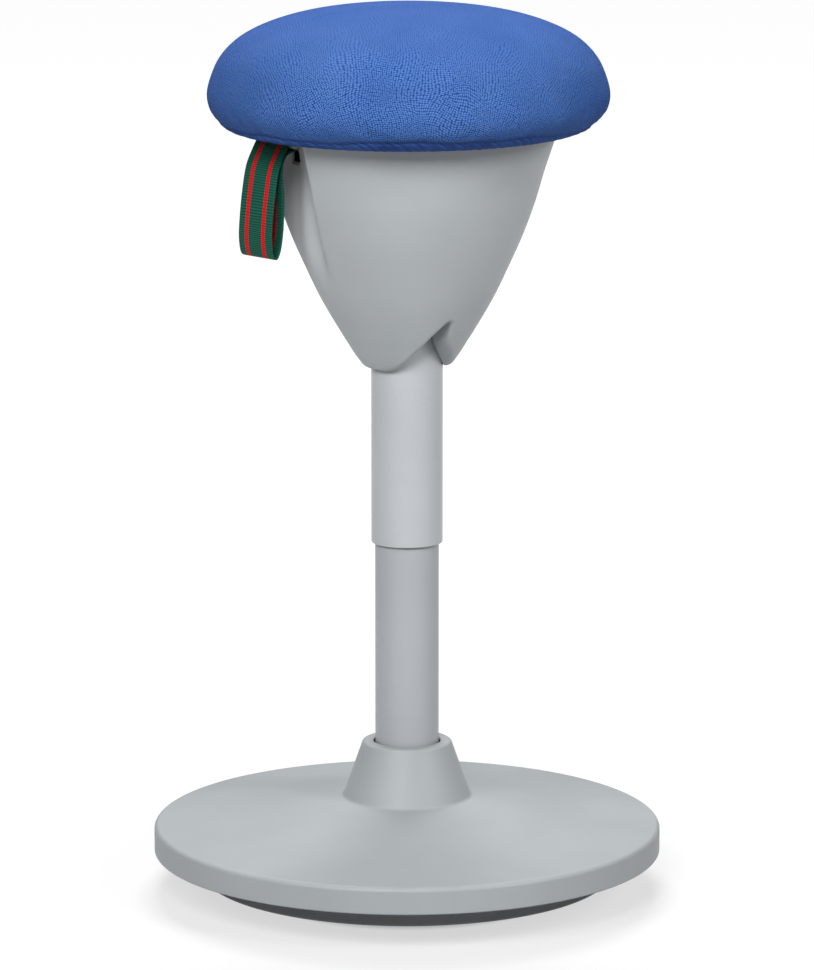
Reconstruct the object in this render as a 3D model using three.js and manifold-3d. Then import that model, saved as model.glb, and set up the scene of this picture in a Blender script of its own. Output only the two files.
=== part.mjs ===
// Wobble stool: a sit-stand stool on a gas lift that rocks on a domed rubber foot.
// Millimetres, +Z up, front along -Y. The origin is the middle of the flat patch of the foot.
// An azimuth is in degrees from the front, counted towards +X.
// All heights are those of the stool with its gas lift fully out.

import * as THREE from "three";
import { mergeVertices } from "three/addons/utils/BufferGeometryUtils.js";
import Module from "manifold-3d";

const wasm = await Module();
wasm.setup();

// Clearances and facet counts
const touchGap = 0.3;
const holeClearance = 0.4;
const runningClearance = 0.4;
const overrun = 4;
const weldTolerance = 0.0001;
const wideFacets = 48;
const tubeFacets = 24;
const smallFacets = 8;
const arcSteps = 3;
const quarterTurn = 90;
const halfTurn = 2 * quarterTurn;
const fullTurn = 4 * quarterTurn;

// Rocker pad: flat patch in the middle, then an arc up to a rim that stops the rocking
const padFlatRadius = 60;
const padArcRadius = 398;
const padSetback = 37;
const padSideHeight = 22.4;
const padEdgeRound = 2.5;
const padArcSteps = 5;
const padScrewSetback = 53;
const padScrewWeb = 8;
const padScrewCount = 4;
const padScrewFirstAzimuth = 0;

// Ballast plate
const ballastSetback = 30;
const ballastThickness = 9;
const ballastEdgeChamfer = 1.5;

// Base cover: skirt, shallow cone and collar in one moulding, with ribs and screw bosses inside
const coverRadius = 200;
const coverSkirtDrop = 3.5;
const coverSkirtHeight = 20;
const coverEdgeRound = 5;
const coverEdgeSweep = 80;
const collarTopFrom = 15;
const coverWall = 3;
const coverConeRise = 26;
const collarFootRadius = 49.3;
const collarFootFillet = 7;
const collarTopRadius = 34.8;
const collarHeight = 42;
const collarTopRound = 3;
const collarHoleGap = 1.4;
const ribCount = 8;
const ribWidth = 2.4;
const ribInnerRadius = 64;
const coverBossRadius = 7;
const coverBossSetback = 58;
const coverScrewCount = 4;
const coverScrewFirstAzimuth = 45;
const coverScrewLength = 15;

// Screws and bolts
const screwRadius = 2.5;
const screwHeadRadius = 5;
const screwHeadHeight = 3;
const padScrewLength = 14;
const boltRadius = 4;
const boltHeadRadius = 7;
const boltHeadHeight = 5;
const hexSides = 6;

// Column socket
const socketFlangeRadius = 62;
const socketFlangeThickness = 8;
const socketHubFootRadius = 34;
const socketHubTopRadius = 30;
const socketHeight = 64;
const socketLedge = 6;
const socketLedgeRadius = 20;
const socketBoltCircle = 48;
const socketBoltCount = 4;
const socketBoltFirstAzimuth = 45;

// Stand tube and what it holds
const tubeRadius = 25;
const tubeWall = 1.5;
const tubeLength = 278;
const tubeFootSpace = 3;
const endPlateThickness = 4;
const bushLength = 80;
const bushFlangeThickness = 3;
const washerRadius = 14;
const washerThickness = 2;
const ballRadius = 2;
const ballCount = 6;
const ballSideFacets = 6;
const cageThickness = 1.6;
const bumperRadius = 12;
const bumperLength = 24;

// Piston rod and gas cylinder
const rodRadius = 5;
const rodTail = 4;
const rodClipRadius = 9;
const rodClipThickness = 1.5;
const rodClipGroove = 1;
const pistonThickness = 14;
const pistonPlay = 0.4;
const cylinderRadius = 14;
const cylinderWall = 1.5;
const cylinderInsertion = 77.9;
const cylinderTopDrop = 2;
const cylinderCapThickness = 8;
const cylinderCapChamfer = 1.2;
const glandThickness = 12;
const valvePinRadius = 3;
const valvePinLength = 24;

// Outer sleeve
const sleeveRadius = 28;
const sleeveWall = 1.8;
const sleeveBottomHeight = 280.5;
const sleeveHubDrop = 40;
const sleeveEdgeRound = 1.2;
const sleeveRingThickness = 12;

// Seat bracket: a pressed steel hat with a hub for the gas cylinder
const boardBottomHeight = 609;
const bracketSheet = 3;
const bracketFlangeRadius = 75;
const bracketPanRadius = 40;
const bracketPanDepth = 21.7;
const bracketHubRadius = 20;
const bracketHubLength = 47;
const bracketBoltCircle = 60;
const bracketBoltCount = 4;
const bracketBoltFirstAzimuth = 22;
const bracketBoltRadius = 3;
const bracketBoltHeadRadius = 5.5;
const bracketBoltHeadHeight = 4;
const teeNutRadius = 4.5;
const teeNutFlangeRadius = 9;
const teeNutFlangeThickness = 1.4;
const teeNutLength = 9;

// Seat board and cushion
const boardRadius = 136;
const boardThickness = 12;
const boardEdgeRound = 2;
const cushionRadius = 156;
const cushionHeight = 97.6;
const fabricThickness = 1.8;
const hemInnerRadius = 119.5;
const cushionSteps = 10;
const cushionShares = [
  [0.865, 0], [0.89, 0.02], [0.937, 0.068], [0.976, 0.148], [1, 0.28], [0.983, 0.386],
  [0.94, 0.546], [0.848, 0.704], [0.73, 0.822], [0.56, 0.918], [0.3, 0.98], [0, 1],
];

// Shroud: a hollow tulip whose two lobes close on the sleeve
const shroudFootRadius = 34;
const shroudTopRadius = 117.3;
const shroudHeight = 189.7;
const shroudWall = 3;
const shroudRings = 12;
const shroudFlangeInnerRadius = 84;
const shroudFlangeThickness = 3.5;
const shroudSleeveGap = 1;
const shroudProfileShares = [
  [0, 0], [0.057, 0.058], [0.222, 0.163], [0.4, 0.295], [0.543, 0.427],
  [0.675, 0.559], [0.784, 0.691], [0.871, 0.822], [0.945, 0.921], [1, 1],
];
const notchAzimuth = 36;
const notchDepth = 45;
const notchLeftFoot = 33;
const notchLeftBend = 21;
const notchRightFoot = 17;
const notchRightBend = 9.5;
const notchBendHeight = 13;
const notchTipRound = 3;
const recessHalfAngle = 23;
const recessFloorWidthShare = 0.68;
const recessDepth = 27;
const recessFloorShare = 0.374;
const recessShapePower = 0.8;
const clipAzimuths = [-150, -20, 50, 100];
const clipCircle = 101;
const clipShankRadius = 3.2;
const clipShankLength = 12;
const clipHeadRadius = 6.5;
const clipHeadHeight = 2;

// Release lever with its pull loop, and the carry loop on its hanger
const leverAzimuth = -76;
const carryAzimuth = 137;
const gripLead = 8;
const leverPivotRadius = 30;
const leverWidth = 8;
const leverThickness = 5;
const leverEyeRadius = 5.5;
const leverPinRadius = 2.5;
const leverPinLength = 50;
const leverDrop = 8.7;
const leverDip = 8.5;
const slotPlay = 1;
const loopBarRadius = 3.2;
const loopBarOverhang = 2;
const loopBarCircle = 102.2;
const loopBarTurn = 29;
const loopBarRise = 3.5;
const hangerFootCircle = 79.5;
const hangerFootLength = 7;
const hangerFootWidth = 16;
const hangerScrewLength = 24;
const webbingWidth = 38;
const webbingThickness = 1.8;
const webbingSlitLength = 10;
const webbingSlitHeight = 8;
const webbingSlitFront = 0.5;
const loopWidth = 22.9;
const loopDrop = 86.6;
const loopSteps = 44;
const loopShares = [
  [-0.14, -0.037], [0.026, -0.054], [0.2, -0.065], [0.367, -0.09], [0.498, -0.15], [0.541, -0.247],
  [0.493, -0.471], [0.507, -0.684], [0.581, -0.836], [0.664, -0.94], [0.76, -1], [0.882, -0.976],
  [1, -0.808], [0.978, -0.727], [0.9, -0.447], [0.747, -0.203], [0.498, -0.088],
];

// Heights and radii that follow from the sizes above
const padRadius = coverRadius - padSetback;
const padScrewCircle = padRadius - padScrewSetback;
const ballastRadius = coverRadius - ballastSetback;
const coverBossCircle = coverRadius - coverBossSetback;
const padRimHeight = padArcRadius - Math.sqrt(padArcRadius ** 2 - (padRadius - padFlatRadius) ** 2);
const padTop = padRimHeight + padSideHeight;
const ballastBottom = padTop + touchGap;
const ballastTop = ballastBottom + ballastThickness;
const coverBottom = padTop - coverSkirtDrop;
const coverSkirtTop = coverBottom + coverSkirtHeight;
const collarFoot = coverSkirtTop + coverConeRise;
const collarTop = collarFoot + collarHeight;
const socketBottom = ballastTop + touchGap;
const tubeBottom = socketBottom + socketLedge + touchGap;
const tubeTop = tubeBottom + tubeLength;
const tubeBore = tubeRadius - tubeWall;
const endPlateBottom = tubeBottom + tubeFootSpace;
const endPlateTop = endPlateBottom + endPlateThickness;
const lowerWasherBottom = endPlateTop + touchGap;
const cageBottom = lowerWasherBottom + washerThickness + touchGap;
const upperWasherBottom = cageBottom + 2 * ballRadius + touchGap;
const bumperBottom = upperWasherBottom + washerThickness + touchGap;
const rodBottom = tubeBottom - rodTail;
const cylinderBore = cylinderRadius - cylinderWall;
const cylinderBottomHeight = tubeTop - cylinderInsertion;
const glandBottom = cylinderBottomHeight + touchGap;
const pistonBottom = glandBottom + glandThickness + touchGap;
const sleeveBore = sleeveRadius - sleeveWall;
const boardTop = boardBottomHeight + boardThickness;
const hatTop = boardBottomHeight - touchGap;
const panFloor = hatTop - bracketPanDepth;
const bracketHubBottom = panFloor - bracketHubLength;
const sleeveTop = bracketHubBottom - sleeveHubDrop;
const cylinderTop = panFloor - cylinderTopDrop;
const cushionBottom = boardBottomHeight - touchGap - fabricThickness;
const shroudTop = boardBottomHeight - touchGap;
const shroudFootHeight = shroudTop - shroudHeight;
const recessFloorHeight = shroudFootHeight + recessFloorShare * shroudHeight;
const shroudFlangeBottom = shroudTop - shroudFlangeThickness;
const leverHeight = panFloor + leverDrop;
const leverBottom = leverHeight - leverThickness / 2;
const leverTop = leverHeight + leverThickness / 2;
const loopBarHeight = leverHeight + loopBarRise;
const valvePinTop = leverBottom - touchGap;
const hangerScrewSeat = leverBottom - touchGap;

// Where the fasteners stand round their circles
const padScrewAzimuths = azimuthsOf(padScrewCount, padScrewFirstAzimuth);
const coverScrewAzimuths = azimuthsOf(coverScrewCount, coverScrewFirstAzimuth);
const socketBoltAzimuths = azimuthsOf(socketBoltCount, socketBoltFirstAzimuth);
const bracketBoltAzimuths = azimuthsOf(bracketBoltCount, bracketBoltFirstAzimuth);

// Solids and geometries

function toSolid(geometry) {
  const bare = geometry.clone();
  bare.deleteAttribute("normal");
  bare.deleteAttribute("uv");
  const merged = mergeVertices(bare, weldTolerance);
  const mesh = new wasm.Mesh({
    numProp: 3,
    vertProperties: new Float32Array(merged.attributes.position.array),
    triVerts: new Uint32Array(merged.index.array),
  });
  return new wasm.Manifold(mesh);
}

function toGeometry(solid) {
  const mesh = solid.getMesh();
  const geometry = new THREE.BufferGeometry();
  geometry.setAttribute("position", new THREE.BufferAttribute(mesh.vertProperties, mesh.numProp));
  geometry.setIndex(new THREE.BufferAttribute(mesh.triVerts, 1));
  geometry.computeVertexNormals();
  return geometry;
}

function cut(geometry, ...tools) {
  return toGeometry(tools.reduce((solid, tool) => solid.subtract(toSolid(tool)), toSolid(geometry)));
}

function join(geometry, ...others) {
  return toGeometry(others.reduce((solid, other) => solid.add(toSolid(other)), toSolid(geometry)));
}

// A point at a radius and azimuth, and the turn that lays a local +X along that azimuth
function around(azimuth, radius, height = 0) {
  const angle = THREE.MathUtils.degToRad(azimuth);
  return new THREE.Vector3(radius * Math.sin(angle), -radius * Math.cos(angle), height);
}

function facing(azimuth) {
  return THREE.MathUtils.degToRad(azimuth - quarterTurn);
}

function azimuthsOf(count, first) {
  return Array.from({ length: count }, (_, index) => first + (index * fullTurn) / count);
}

// Points of an arc about a centre in the plane of radius and height
function arc(radius, height, round, from, to, steps = arcSteps) {
  return Array.from({ length: steps + 1 }, (_, index) => {
    const angle = THREE.MathUtils.degToRad(from + ((to - from) * index) / steps);
    return [radius + round * Math.cos(angle), height + round * Math.sin(angle)];
  });
}

// Turns an outline of [radius, height] pairs, outer wall going up, about the vertical axis
function revolve(outline, facets) {
  const points = outline.map(([radius, height]) => new THREE.Vector2(radius, height));
  const lathe = new THREE.LatheGeometry(points, facets);
  lathe.rotateX(Math.PI / 2);
  return lathe;
}

// A plain ring or pipe
function ring(inner, outer, bottom, top, facets) {
  return revolve([[inner, bottom], [outer, bottom], [outer, top], [inner, top], [inner, bottom]], facets);
}

// A plain upright cylinder between two heights
function post(radius, bottom, top, facets = smallFacets) {
  const geometry = new THREE.CylinderGeometry(radius, radius, top - bottom, facets);
  geometry.rotateX(Math.PI / 2);
  geometry.translate(0, 0, (top + bottom) / 2);
  return geometry;
}

function postAt(azimuth, circle, radius, bottom, top, facets = smallFacets) {
  const geometry = post(radius, bottom, top, facets);
  geometry.translate(circle, 0, 0);
  geometry.rotateZ(facing(azimuth));
  return geometry;
}

// A block that runs along the azimuth from one radius to another
function blockAlong(azimuth, from, to, width, bottom, top) {
  const geometry = new THREE.BoxGeometry(to - from, width, top - bottom);
  geometry.translate((from + to) / 2, 0, (bottom + top) / 2);
  geometry.rotateZ(facing(azimuth));
  return geometry;
}

// Moves an open outline inwards by a distance, square to its own run
function inset(outline, distance) {
  return outline.map(([radius, height], index) => {
    const before = outline[Math.max(index - 1, 0)];
    const after = outline[Math.min(index + 1, outline.length - 1)];
    const run = new THREE.Vector2(after[0] - before[0], after[1] - before[1]).normalize();
    return [Math.max(radius - run.y * distance, 0), height + run.x * distance];
  });
}

// Screws and bolts, head at the bottom and shank going up from height zero
function countersunkScrew(length) {
  return revolve([
    [0, -screwHeadHeight], [screwHeadRadius, -screwHeadHeight], [screwRadius, 0],
    [screwRadius, length - screwRadius], [screwRadius / 2, length], [0, length],
  ], smallFacets);
}

function hexBolt(radius, headRadius, headHeight, length) {
  const head = post(headRadius, -headHeight, 0, hexSides);
  const shank = post(radius, -headHeight / 2, length);
  return join(head, shank);
}

// Base

function rockerPad() {
  const arcAngle = THREE.MathUtils.radToDeg(Math.asin((padRadius - padFlatRadius) / padArcRadius));
  const outline = [
    [0, 0],
    ...arc(padFlatRadius, padArcRadius, padArcRadius, -quarterTurn, arcAngle - quarterTurn, padArcSteps),
    ...arc(padRadius - padEdgeRound, padTop - padEdgeRound, padEdgeRound, 0, quarterTurn),
    [0, padTop],
  ];
  const holes = padScrewAzimuths.flatMap((azimuth) => [
    postAt(azimuth, padScrewCircle, screwHeadRadius + holeClearance, -overrun, padTop - padScrewWeb),
    postAt(azimuth, padScrewCircle, screwRadius + holeClearance, 0, padTop + overrun),
  ]);
  return cut(revolve(outline, wideFacets), ...holes);
}

function ballastPlate() {
  const outline = [
    [0, ballastBottom],
    [ballastRadius - ballastEdgeChamfer, ballastBottom],
    [ballastRadius, ballastBottom + ballastEdgeChamfer],
    [ballastRadius, ballastTop - ballastEdgeChamfer],
    [ballastRadius - ballastEdgeChamfer, ballastTop],
    [0, ballastTop],
  ];
  const drill = (azimuth, circle, radius) =>
    postAt(azimuth, circle, radius + holeClearance, ballastBottom - overrun, ballastTop + overrun);
  const headSeat = (azimuth) => postAt(azimuth, coverBossCircle, screwHeadRadius + holeClearance,
    ballastBottom - overrun, ballastBottom + screwHeadHeight + touchGap);
  return cut(
    revolve(outline, wideFacets),
    ...padScrewAzimuths.map((azimuth) => drill(azimuth, padScrewCircle, screwRadius)),
    ...coverScrewAzimuths.map((azimuth) => drill(azimuth, coverBossCircle, screwRadius)),
    ...coverScrewAzimuths.map(headSeat),
    ...socketBoltAzimuths.map((azimuth) => drill(azimuth, socketBoltCircle, boltRadius)),
  );
}

// Outer line of the cover from the foot of the skirt up to the hole of the collar
function coverOutline() {
  return [
    [coverRadius, coverBottom],
    ...arc(coverRadius - coverEdgeRound, coverSkirtTop - coverEdgeRound, coverEdgeRound, 0, coverEdgeSweep),
    [collarFootRadius + collarFootFillet, collarFoot - coverConeRise * collarFootFillet / coverRadius],
    [collarFootRadius, collarFoot],
    [collarFootRadius - collarFootFillet / 3, collarFoot + collarFootFillet],
    ...arc(collarTopRadius - collarTopRound, collarTop - collarTopRound, collarTopRound,
      collarTopFrom, quarterTurn, 2),
  ];
}

function baseCover() {
  const hole = tubeRadius + collarHoleGap;
  const outer = coverOutline();
  const inner = inset(outer, coverWall).slice(1, -1);
  const shell = revolve([
    ...outer,
    [hole, collarTop],
    [hole, collarTop - coverWall],
    ...inner.reverse(),
    [coverRadius - coverWall, coverBottom],
    [coverRadius, coverBottom],
  ], wideFacets);
  const solidCover = revolve([[0, coverBottom], ...outer, [0, collarTop]], wideFacets);
  const supportBottom = ballastTop + touchGap;
  const ribs = azimuthsOf(ribCount, 0).map((azimuth) =>
    blockAlong(azimuth, ribInnerRadius, coverRadius - coverWall / 2, ribWidth, supportBottom, collarFoot));
  const bosses = coverScrewAzimuths.map((azimuth) =>
    postAt(azimuth, coverBossCircle, coverBossRadius, supportBottom, collarFoot));
  const web = [...ribs, ...bosses].map(toSolid).reduce((sum, solid) => sum.add(solid));
  const bores = coverScrewAzimuths.map((azimuth) =>
    postAt(azimuth, coverBossCircle, screwRadius + holeClearance, supportBottom - overrun,
      ballastBottom + coverScrewLength + touchGap + screwHeadHeight));
  const body = toSolid(shell).add(web.intersect(toSolid(solidCover)));
  return toGeometry(bores.reduce((solid, bore) => solid.subtract(toSolid(bore)), body));
}

function columnSocket() {
  const bore = tubeRadius + touchGap;
  const flangeTop = socketBottom + socketFlangeThickness;
  const top = socketBottom + socketHeight;
  const outline = [
    [socketLedgeRadius, socketBottom],
    [socketFlangeRadius, socketBottom],
    [socketFlangeRadius, flangeTop],
    [socketHubFootRadius, flangeTop],
    [socketHubTopRadius, top],
    [bore, top],
    [bore, tubeBottom - touchGap],
    [socketLedgeRadius, tubeBottom - touchGap],
    [socketLedgeRadius, socketBottom],
  ];
  const holes = socketBoltAzimuths.map((azimuth) =>
    postAt(azimuth, socketBoltCircle, boltRadius + holeClearance,
      socketBottom - overrun, flangeTop + overrun));
  return cut(revolve(outline, tubeFacets), ...holes);
}

function guideBush() {
  const bore = cylinderRadius + runningClearance;
  const mouth = tubeTop + touchGap;
  const outline = [
    [bore, tubeTop - bushLength],
    [tubeBore - touchGap, tubeTop - bushLength],
    [tubeBore - touchGap, mouth],
    [tubeRadius, mouth],
    [tubeRadius, mouth + bushFlangeThickness],
    [bore, mouth + bushFlangeThickness],
    [bore, tubeTop - bushLength],
  ];
  return revolve(outline, tubeFacets);
}

function ballCage() {
  const bore = rodRadius + touchGap;
  const circle = (bore + washerRadius) / 2;
  const middle = cageBottom + ballRadius;
  const cage = ring(bore, washerRadius, middle - cageThickness / 2, middle + cageThickness / 2, tubeFacets);
  const balls = azimuthsOf(ballCount, 0).map((azimuth) => {
    const ball = new THREE.SphereGeometry(ballRadius, ballSideFacets, ballSideFacets);
    const centre = around(azimuth, circle, middle);
    ball.translate(centre.x, centre.y, centre.z);
    return ball;
  });
  return join(cage, ...balls);
}

// Rod

function pistonRod() {
  const grooveBottom = endPlateBottom - touchGap - rodClipThickness - touchGap;
  const grooveTop = endPlateBottom - touchGap;
  const groove = rodRadius - rodClipGroove;
  const top = pistonBottom + pistonThickness;
  return revolve([
    [0, rodBottom], [rodRadius, rodBottom], [rodRadius, grooveBottom], [groove, grooveBottom],
    [groove, grooveTop], [rodRadius, grooveTop], [rodRadius, top], [0, top],
  ], tubeFacets);
}

// Seat

function gasCylinder() {
  const capBottom = cylinderTop - cylinderCapThickness;
  const pinHole = valvePinRadius + runningClearance;
  return revolve([
    [cylinderBore, cylinderBottomHeight],
    [cylinderRadius, cylinderBottomHeight],
    [cylinderRadius, cylinderTop - cylinderCapChamfer],
    [cylinderRadius - cylinderCapChamfer, cylinderTop],
    [pinHole, cylinderTop],
    [pinHole, capBottom],
    [cylinderBore, capBottom],
    [cylinderBore, cylinderBottomHeight],
  ], tubeFacets);
}

function outerSleeve() {
  return revolve([
    [sleeveBore, sleeveBottomHeight],
    ...arc(sleeveRadius - sleeveEdgeRound, sleeveBottomHeight + sleeveEdgeRound, sleeveEdgeRound,
      -quarterTurn, 0),
    [sleeveRadius, sleeveTop],
    [sleeveBore, sleeveTop],
    [sleeveBore, sleeveBottomHeight],
  ], tubeFacets);
}

function seatBracket() {
  const bore = cylinderRadius + touchGap;
  const panInner = bracketPanRadius - bracketSheet;
  const flangeBottom = hatTop - bracketSheet;
  const panBottom = panFloor - bracketSheet;
  const hat = revolve([
    [bore, bracketHubBottom],
    [bracketHubRadius, bracketHubBottom],
    [bracketHubRadius, panBottom],
    [bracketPanRadius, panBottom],
    [bracketPanRadius, flangeBottom],
    [bracketFlangeRadius, flangeBottom],
    [bracketFlangeRadius, hatTop],
    [panInner, hatTop],
    [panInner, panFloor],
    [bore, panFloor],
    [bore, bracketHubBottom],
  ], tubeFacets);
  const leverWindow = blockAlong(leverAzimuth, bracketHubRadius, bracketPanRadius + overrun,
    leverWidth + 2 * overrun, panFloor, flangeBottom);
  const pinHole = leverPinGeometry(leverPinRadius + holeClearance, leverPinLength + overrun);
  pinHole.rotateZ(facing(leverAzimuth));
  const bolts = bracketBoltAzimuths.map((azimuth) =>
    postAt(azimuth, bracketBoltCircle, bracketBoltRadius + holeClearance,
      flangeBottom - overrun, hatTop + overrun));
  return cut(hat, leverWindow, pinHole, ...bolts);
}

function teeNut() {
  const bore = bracketBoltRadius + holeClearance;
  const barrelTop = teeNutLength;
  return revolve([
    [bore, 0], [teeNutRadius, 0], [teeNutRadius, barrelTop], [teeNutFlangeRadius, barrelTop],
    [teeNutFlangeRadius, barrelTop + teeNutFlangeThickness], [bore, barrelTop + teeNutFlangeThickness],
    [bore, 0],
  ], smallFacets);
}

function seatBoard() {
  const outline = [
    [0, boardBottomHeight],
    ...arc(boardRadius - boardEdgeRound, boardBottomHeight + boardEdgeRound, boardEdgeRound,
      -quarterTurn, 0),
    [boardRadius, boardTop],
    [0, boardTop],
  ];
  const teeNutHoles = bracketBoltAzimuths.flatMap((azimuth) => [
    postAt(azimuth, bracketBoltCircle, teeNutRadius + holeClearance,
      boardBottomHeight - overrun, boardTop + overrun),
    postAt(azimuth, bracketBoltCircle, teeNutFlangeRadius + holeClearance,
      boardTop - teeNutFlangeThickness - touchGap, boardTop + overrun),
  ]);
  const clipHoles = clipAzimuths.map((azimuth) =>
    postAt(azimuth, clipCircle, clipShankRadius + holeClearance, boardBottomHeight - overrun,
      shroudFlangeBottom + clipShankLength + touchGap));
  const hangerHole = postAt(carryAzimuth, hangerFootCircle, screwRadius + holeClearance,
    boardBottomHeight - overrun, hangerScrewSeat + hangerScrewLength + touchGap);
  return cut(revolve(outline, wideFacets), ...teeNutHoles, ...clipHoles, hangerHole);
}

// Line of the cushion from the turned-in hem round the side to the crown
function cushionOutline() {
  const curve = new THREE.SplineCurve(cushionShares.map(([radiusShare, heightShare]) =>
    new THREE.Vector2(radiusShare * cushionRadius, cushionBottom + heightShare * cushionHeight)));
  return curve.getPoints(cushionSteps).map((point) => [Math.max(point.x, 0), point.y]);
}

function seatCover() {
  const outer = cushionOutline();
  const inner = inset(outer, fabricThickness);
  return revolve([
    [hemInnerRadius, cushionBottom],
    ...outer,
    ...inner.reverse(),
    [hemInnerRadius, cushionBottom + fabricThickness],
    [hemInnerRadius, cushionBottom],
  ], wideFacets);
}

function seatFoam() {
  const seat = boardTop + touchGap;
  const side = boardRadius + touchGap;
  const inner = inset(cushionOutline(), fabricThickness + touchGap)
    .filter(([, height]) => height > boardBottomHeight + touchGap);
  return revolve([[0, seat], [side, seat], [side, inner[0][1]], ...inner], wideFacets);
}

// Radius of the shroud at a height, before its recesses
function shroudRadius(height) {
  const share = (height - shroudFootHeight) / shroudHeight;
  const clamped = THREE.MathUtils.clamp(share, 0, 1);
  const next = Math.max(1, shroudProfileShares.findIndex(([, heightShare]) => heightShare >= clamped));
  const [lowRadius, low] = shroudProfileShares[next - 1];
  const [highRadius, high] = shroudProfileShares[next];
  const along = (clamped - low) / (high - low);
  const radiusShare = lowRadius + (highRadius - lowRadius) * along;
  return shroudFootRadius + (shroudTopRadius - shroudFootRadius) * radiusShare;
}

// Depth of the grip recesses: a flute that is deepest and widest at the top and dies out below
function recessAt(azimuth, height) {
  const rise = THREE.MathUtils.smoothstep(height, recessFloorHeight, shroudTop);
  const climb = THREE.MathUtils.clamp((height - recessFloorHeight) / (shroudTop - recessFloorHeight), 0, 1);
  const halfAngle = recessHalfAngle * THREE.MathUtils.lerp(recessFloorWidthShare, 1, climb);
  const flutes = [leverAzimuth + gripLead, carryAzimuth + gripLead].map((centre) => {
    const away = THREE.MathUtils.euclideanModulo(azimuth - centre + halfTurn, fullTurn) - halfTurn;
    const share = Math.min(Math.abs(away) / halfAngle, 1);
    return (1 - share ** 2) ** recessShapePower;
  });
  return recessDepth * rise * Math.max(...flutes);
}

// A closed body of stacked rings, each a little further up, with a fan at both ends
function stack(heights, radiusAt) {
  const positions = [];
  heights.forEach((height) => {
    azimuthsOf(wideFacets, 0).forEach((azimuth) => {
      const radius = radiusAt(azimuth, height);
      positions.push(...around(azimuth, radius, height).toArray());
    });
  });
  positions.push(0, 0, heights[0], 0, 0, heights[heights.length - 1]);
  const index = [];
  const bottomCentre = heights.length * wideFacets;
  for (let step = 0; step < wideFacets; step += 1) {
    const next = (step + 1) % wideFacets;
    index.push(bottomCentre, next, step);
    const last = (heights.length - 1) * wideFacets;
    index.push(bottomCentre + 1, last + step, last + next);
    for (let row = 0; row < heights.length - 1; row += 1) {
      const low = row * wideFacets;
      const high = low + wideFacets;
      index.push(low + step, low + next, high + next, low + step, high + next, high + step);
    }
  }
  const geometry = new THREE.BufferGeometry();
  geometry.setAttribute("position", new THREE.Float32BufferAttribute(positions, 3));
  geometry.setIndex(index);
  geometry.computeVertexNormals();
  return geometry;
}

// The wedge between the two lobes: steep on one side, long and slanted on the other
function notchWedge(azimuth, grow) {
  const foot = shroudFootHeight - overrun - grow;
  const bend = shroudFootHeight + notchBendHeight + grow;
  const tip = shroudFootHeight + notchDepth + 2 * grow;
  const outline = new THREE.Shape();
  outline.moveTo(notchRightFoot + grow, foot);
  outline.lineTo(notchRightFoot + grow, shroudFootHeight);
  outline.quadraticCurveTo(notchRightBend + 2 * grow, shroudFootHeight, notchRightBend + grow, bend);
  outline.lineTo(notchTipRound / 3 + grow, tip - notchTipRound);
  outline.quadraticCurveTo(0, tip, -notchTipRound - grow, tip - notchTipRound);
  outline.lineTo(-notchLeftBend - grow, bend);
  outline.quadraticCurveTo(
    -notchLeftBend - notchTipRound - grow, shroudFootHeight, -notchLeftFoot - grow, shroudFootHeight);
  outline.lineTo(-notchLeftFoot - grow, foot);
  const geometry = new THREE.ExtrudeGeometry(outline, {
    depth: shroudTopRadius,
    bevelEnabled: false,
    curveSegments: arcSteps,
  });
  geometry.rotateX(Math.PI / 2);
  geometry.rotateZ(THREE.MathUtils.degToRad(azimuth));
  return geometry;
}

function shroud() {
  const heights = Array.from({ length: shroudRings + 1 }, (_, row) =>
    shroudFootHeight + (shroudHeight * row) / shroudRings);
  const outer = stack(heights, (azimuth, height) => shroudRadius(height) - recessAt(azimuth, height));
  const wallRadius = (azimuth, height) => shroudRadius(height) - recessAt(azimuth, height) - shroudWall;
  const innerHeights = [
    shroudFootHeight - overrun,
    ...heights.filter((height, row) => row % 2 === 0 && height < shroudFlangeBottom - touchGap),
    shroudFlangeBottom,
  ];
  const notches = [notchAzimuth, notchAzimuth + halfTurn];
  const hollow = notches.reduce(
    (solid, azimuth) => solid.subtract(toSolid(notchWedge(azimuth, shroudWall))),
    toSolid(stack(innerHeights, wallRadius)),
  );
  const armSlot = (azimuth, dip) =>
    blockAlong(azimuth, shroudFlangeInnerRadius - overrun, shroudTopRadius + overrun,
      leverWidth + 2 * slotPlay, leverBottom - dip - slotPlay, leverTop + slotPlay);
  const cuts = [
    post(sleeveRadius + shroudSleeveGap, shroudFootHeight - overrun, shroudFootHeight + 2 * notchDepth,
      tubeFacets),
    post(shroudFlangeInnerRadius, shroudFlangeBottom - overrun, shroudTop + overrun, wideFacets),
    ...notches.map((azimuth) => notchWedge(azimuth, 0)),
    armSlot(leverAzimuth, leverDip),
    armSlot(carryAzimuth, 0),
    ...clipAzimuths.map((azimuth) => postAt(azimuth, clipCircle, clipShankRadius + holeClearance,
      shroudFlangeBottom - overrun, shroudTop + overrun)),
  ];
  const shell = toSolid(outer).subtract(hollow);
  return toGeometry(cuts.reduce((solid, tool) => solid.subtract(toSolid(tool)), shell));
}

function shroudClip() {
  return revolve([
    [0, -clipHeadHeight], [clipHeadRadius, -clipHeadHeight], [clipHeadRadius, 0], [clipShankRadius, 0],
    [clipShankRadius, clipShankLength - clipShankRadius], [clipShankRadius / 2, clipShankLength],
    [0, clipShankLength],
  ], smallFacets);
}

// Lever

function leverPinGeometry(radius, length) {
  const pin = new THREE.CylinderGeometry(radius, radius, length, smallFacets);
  pin.translate(-leverPivotRadius, 0, 0);
  pin.translate(0, 0, leverHeight);
  return pin;
}

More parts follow.
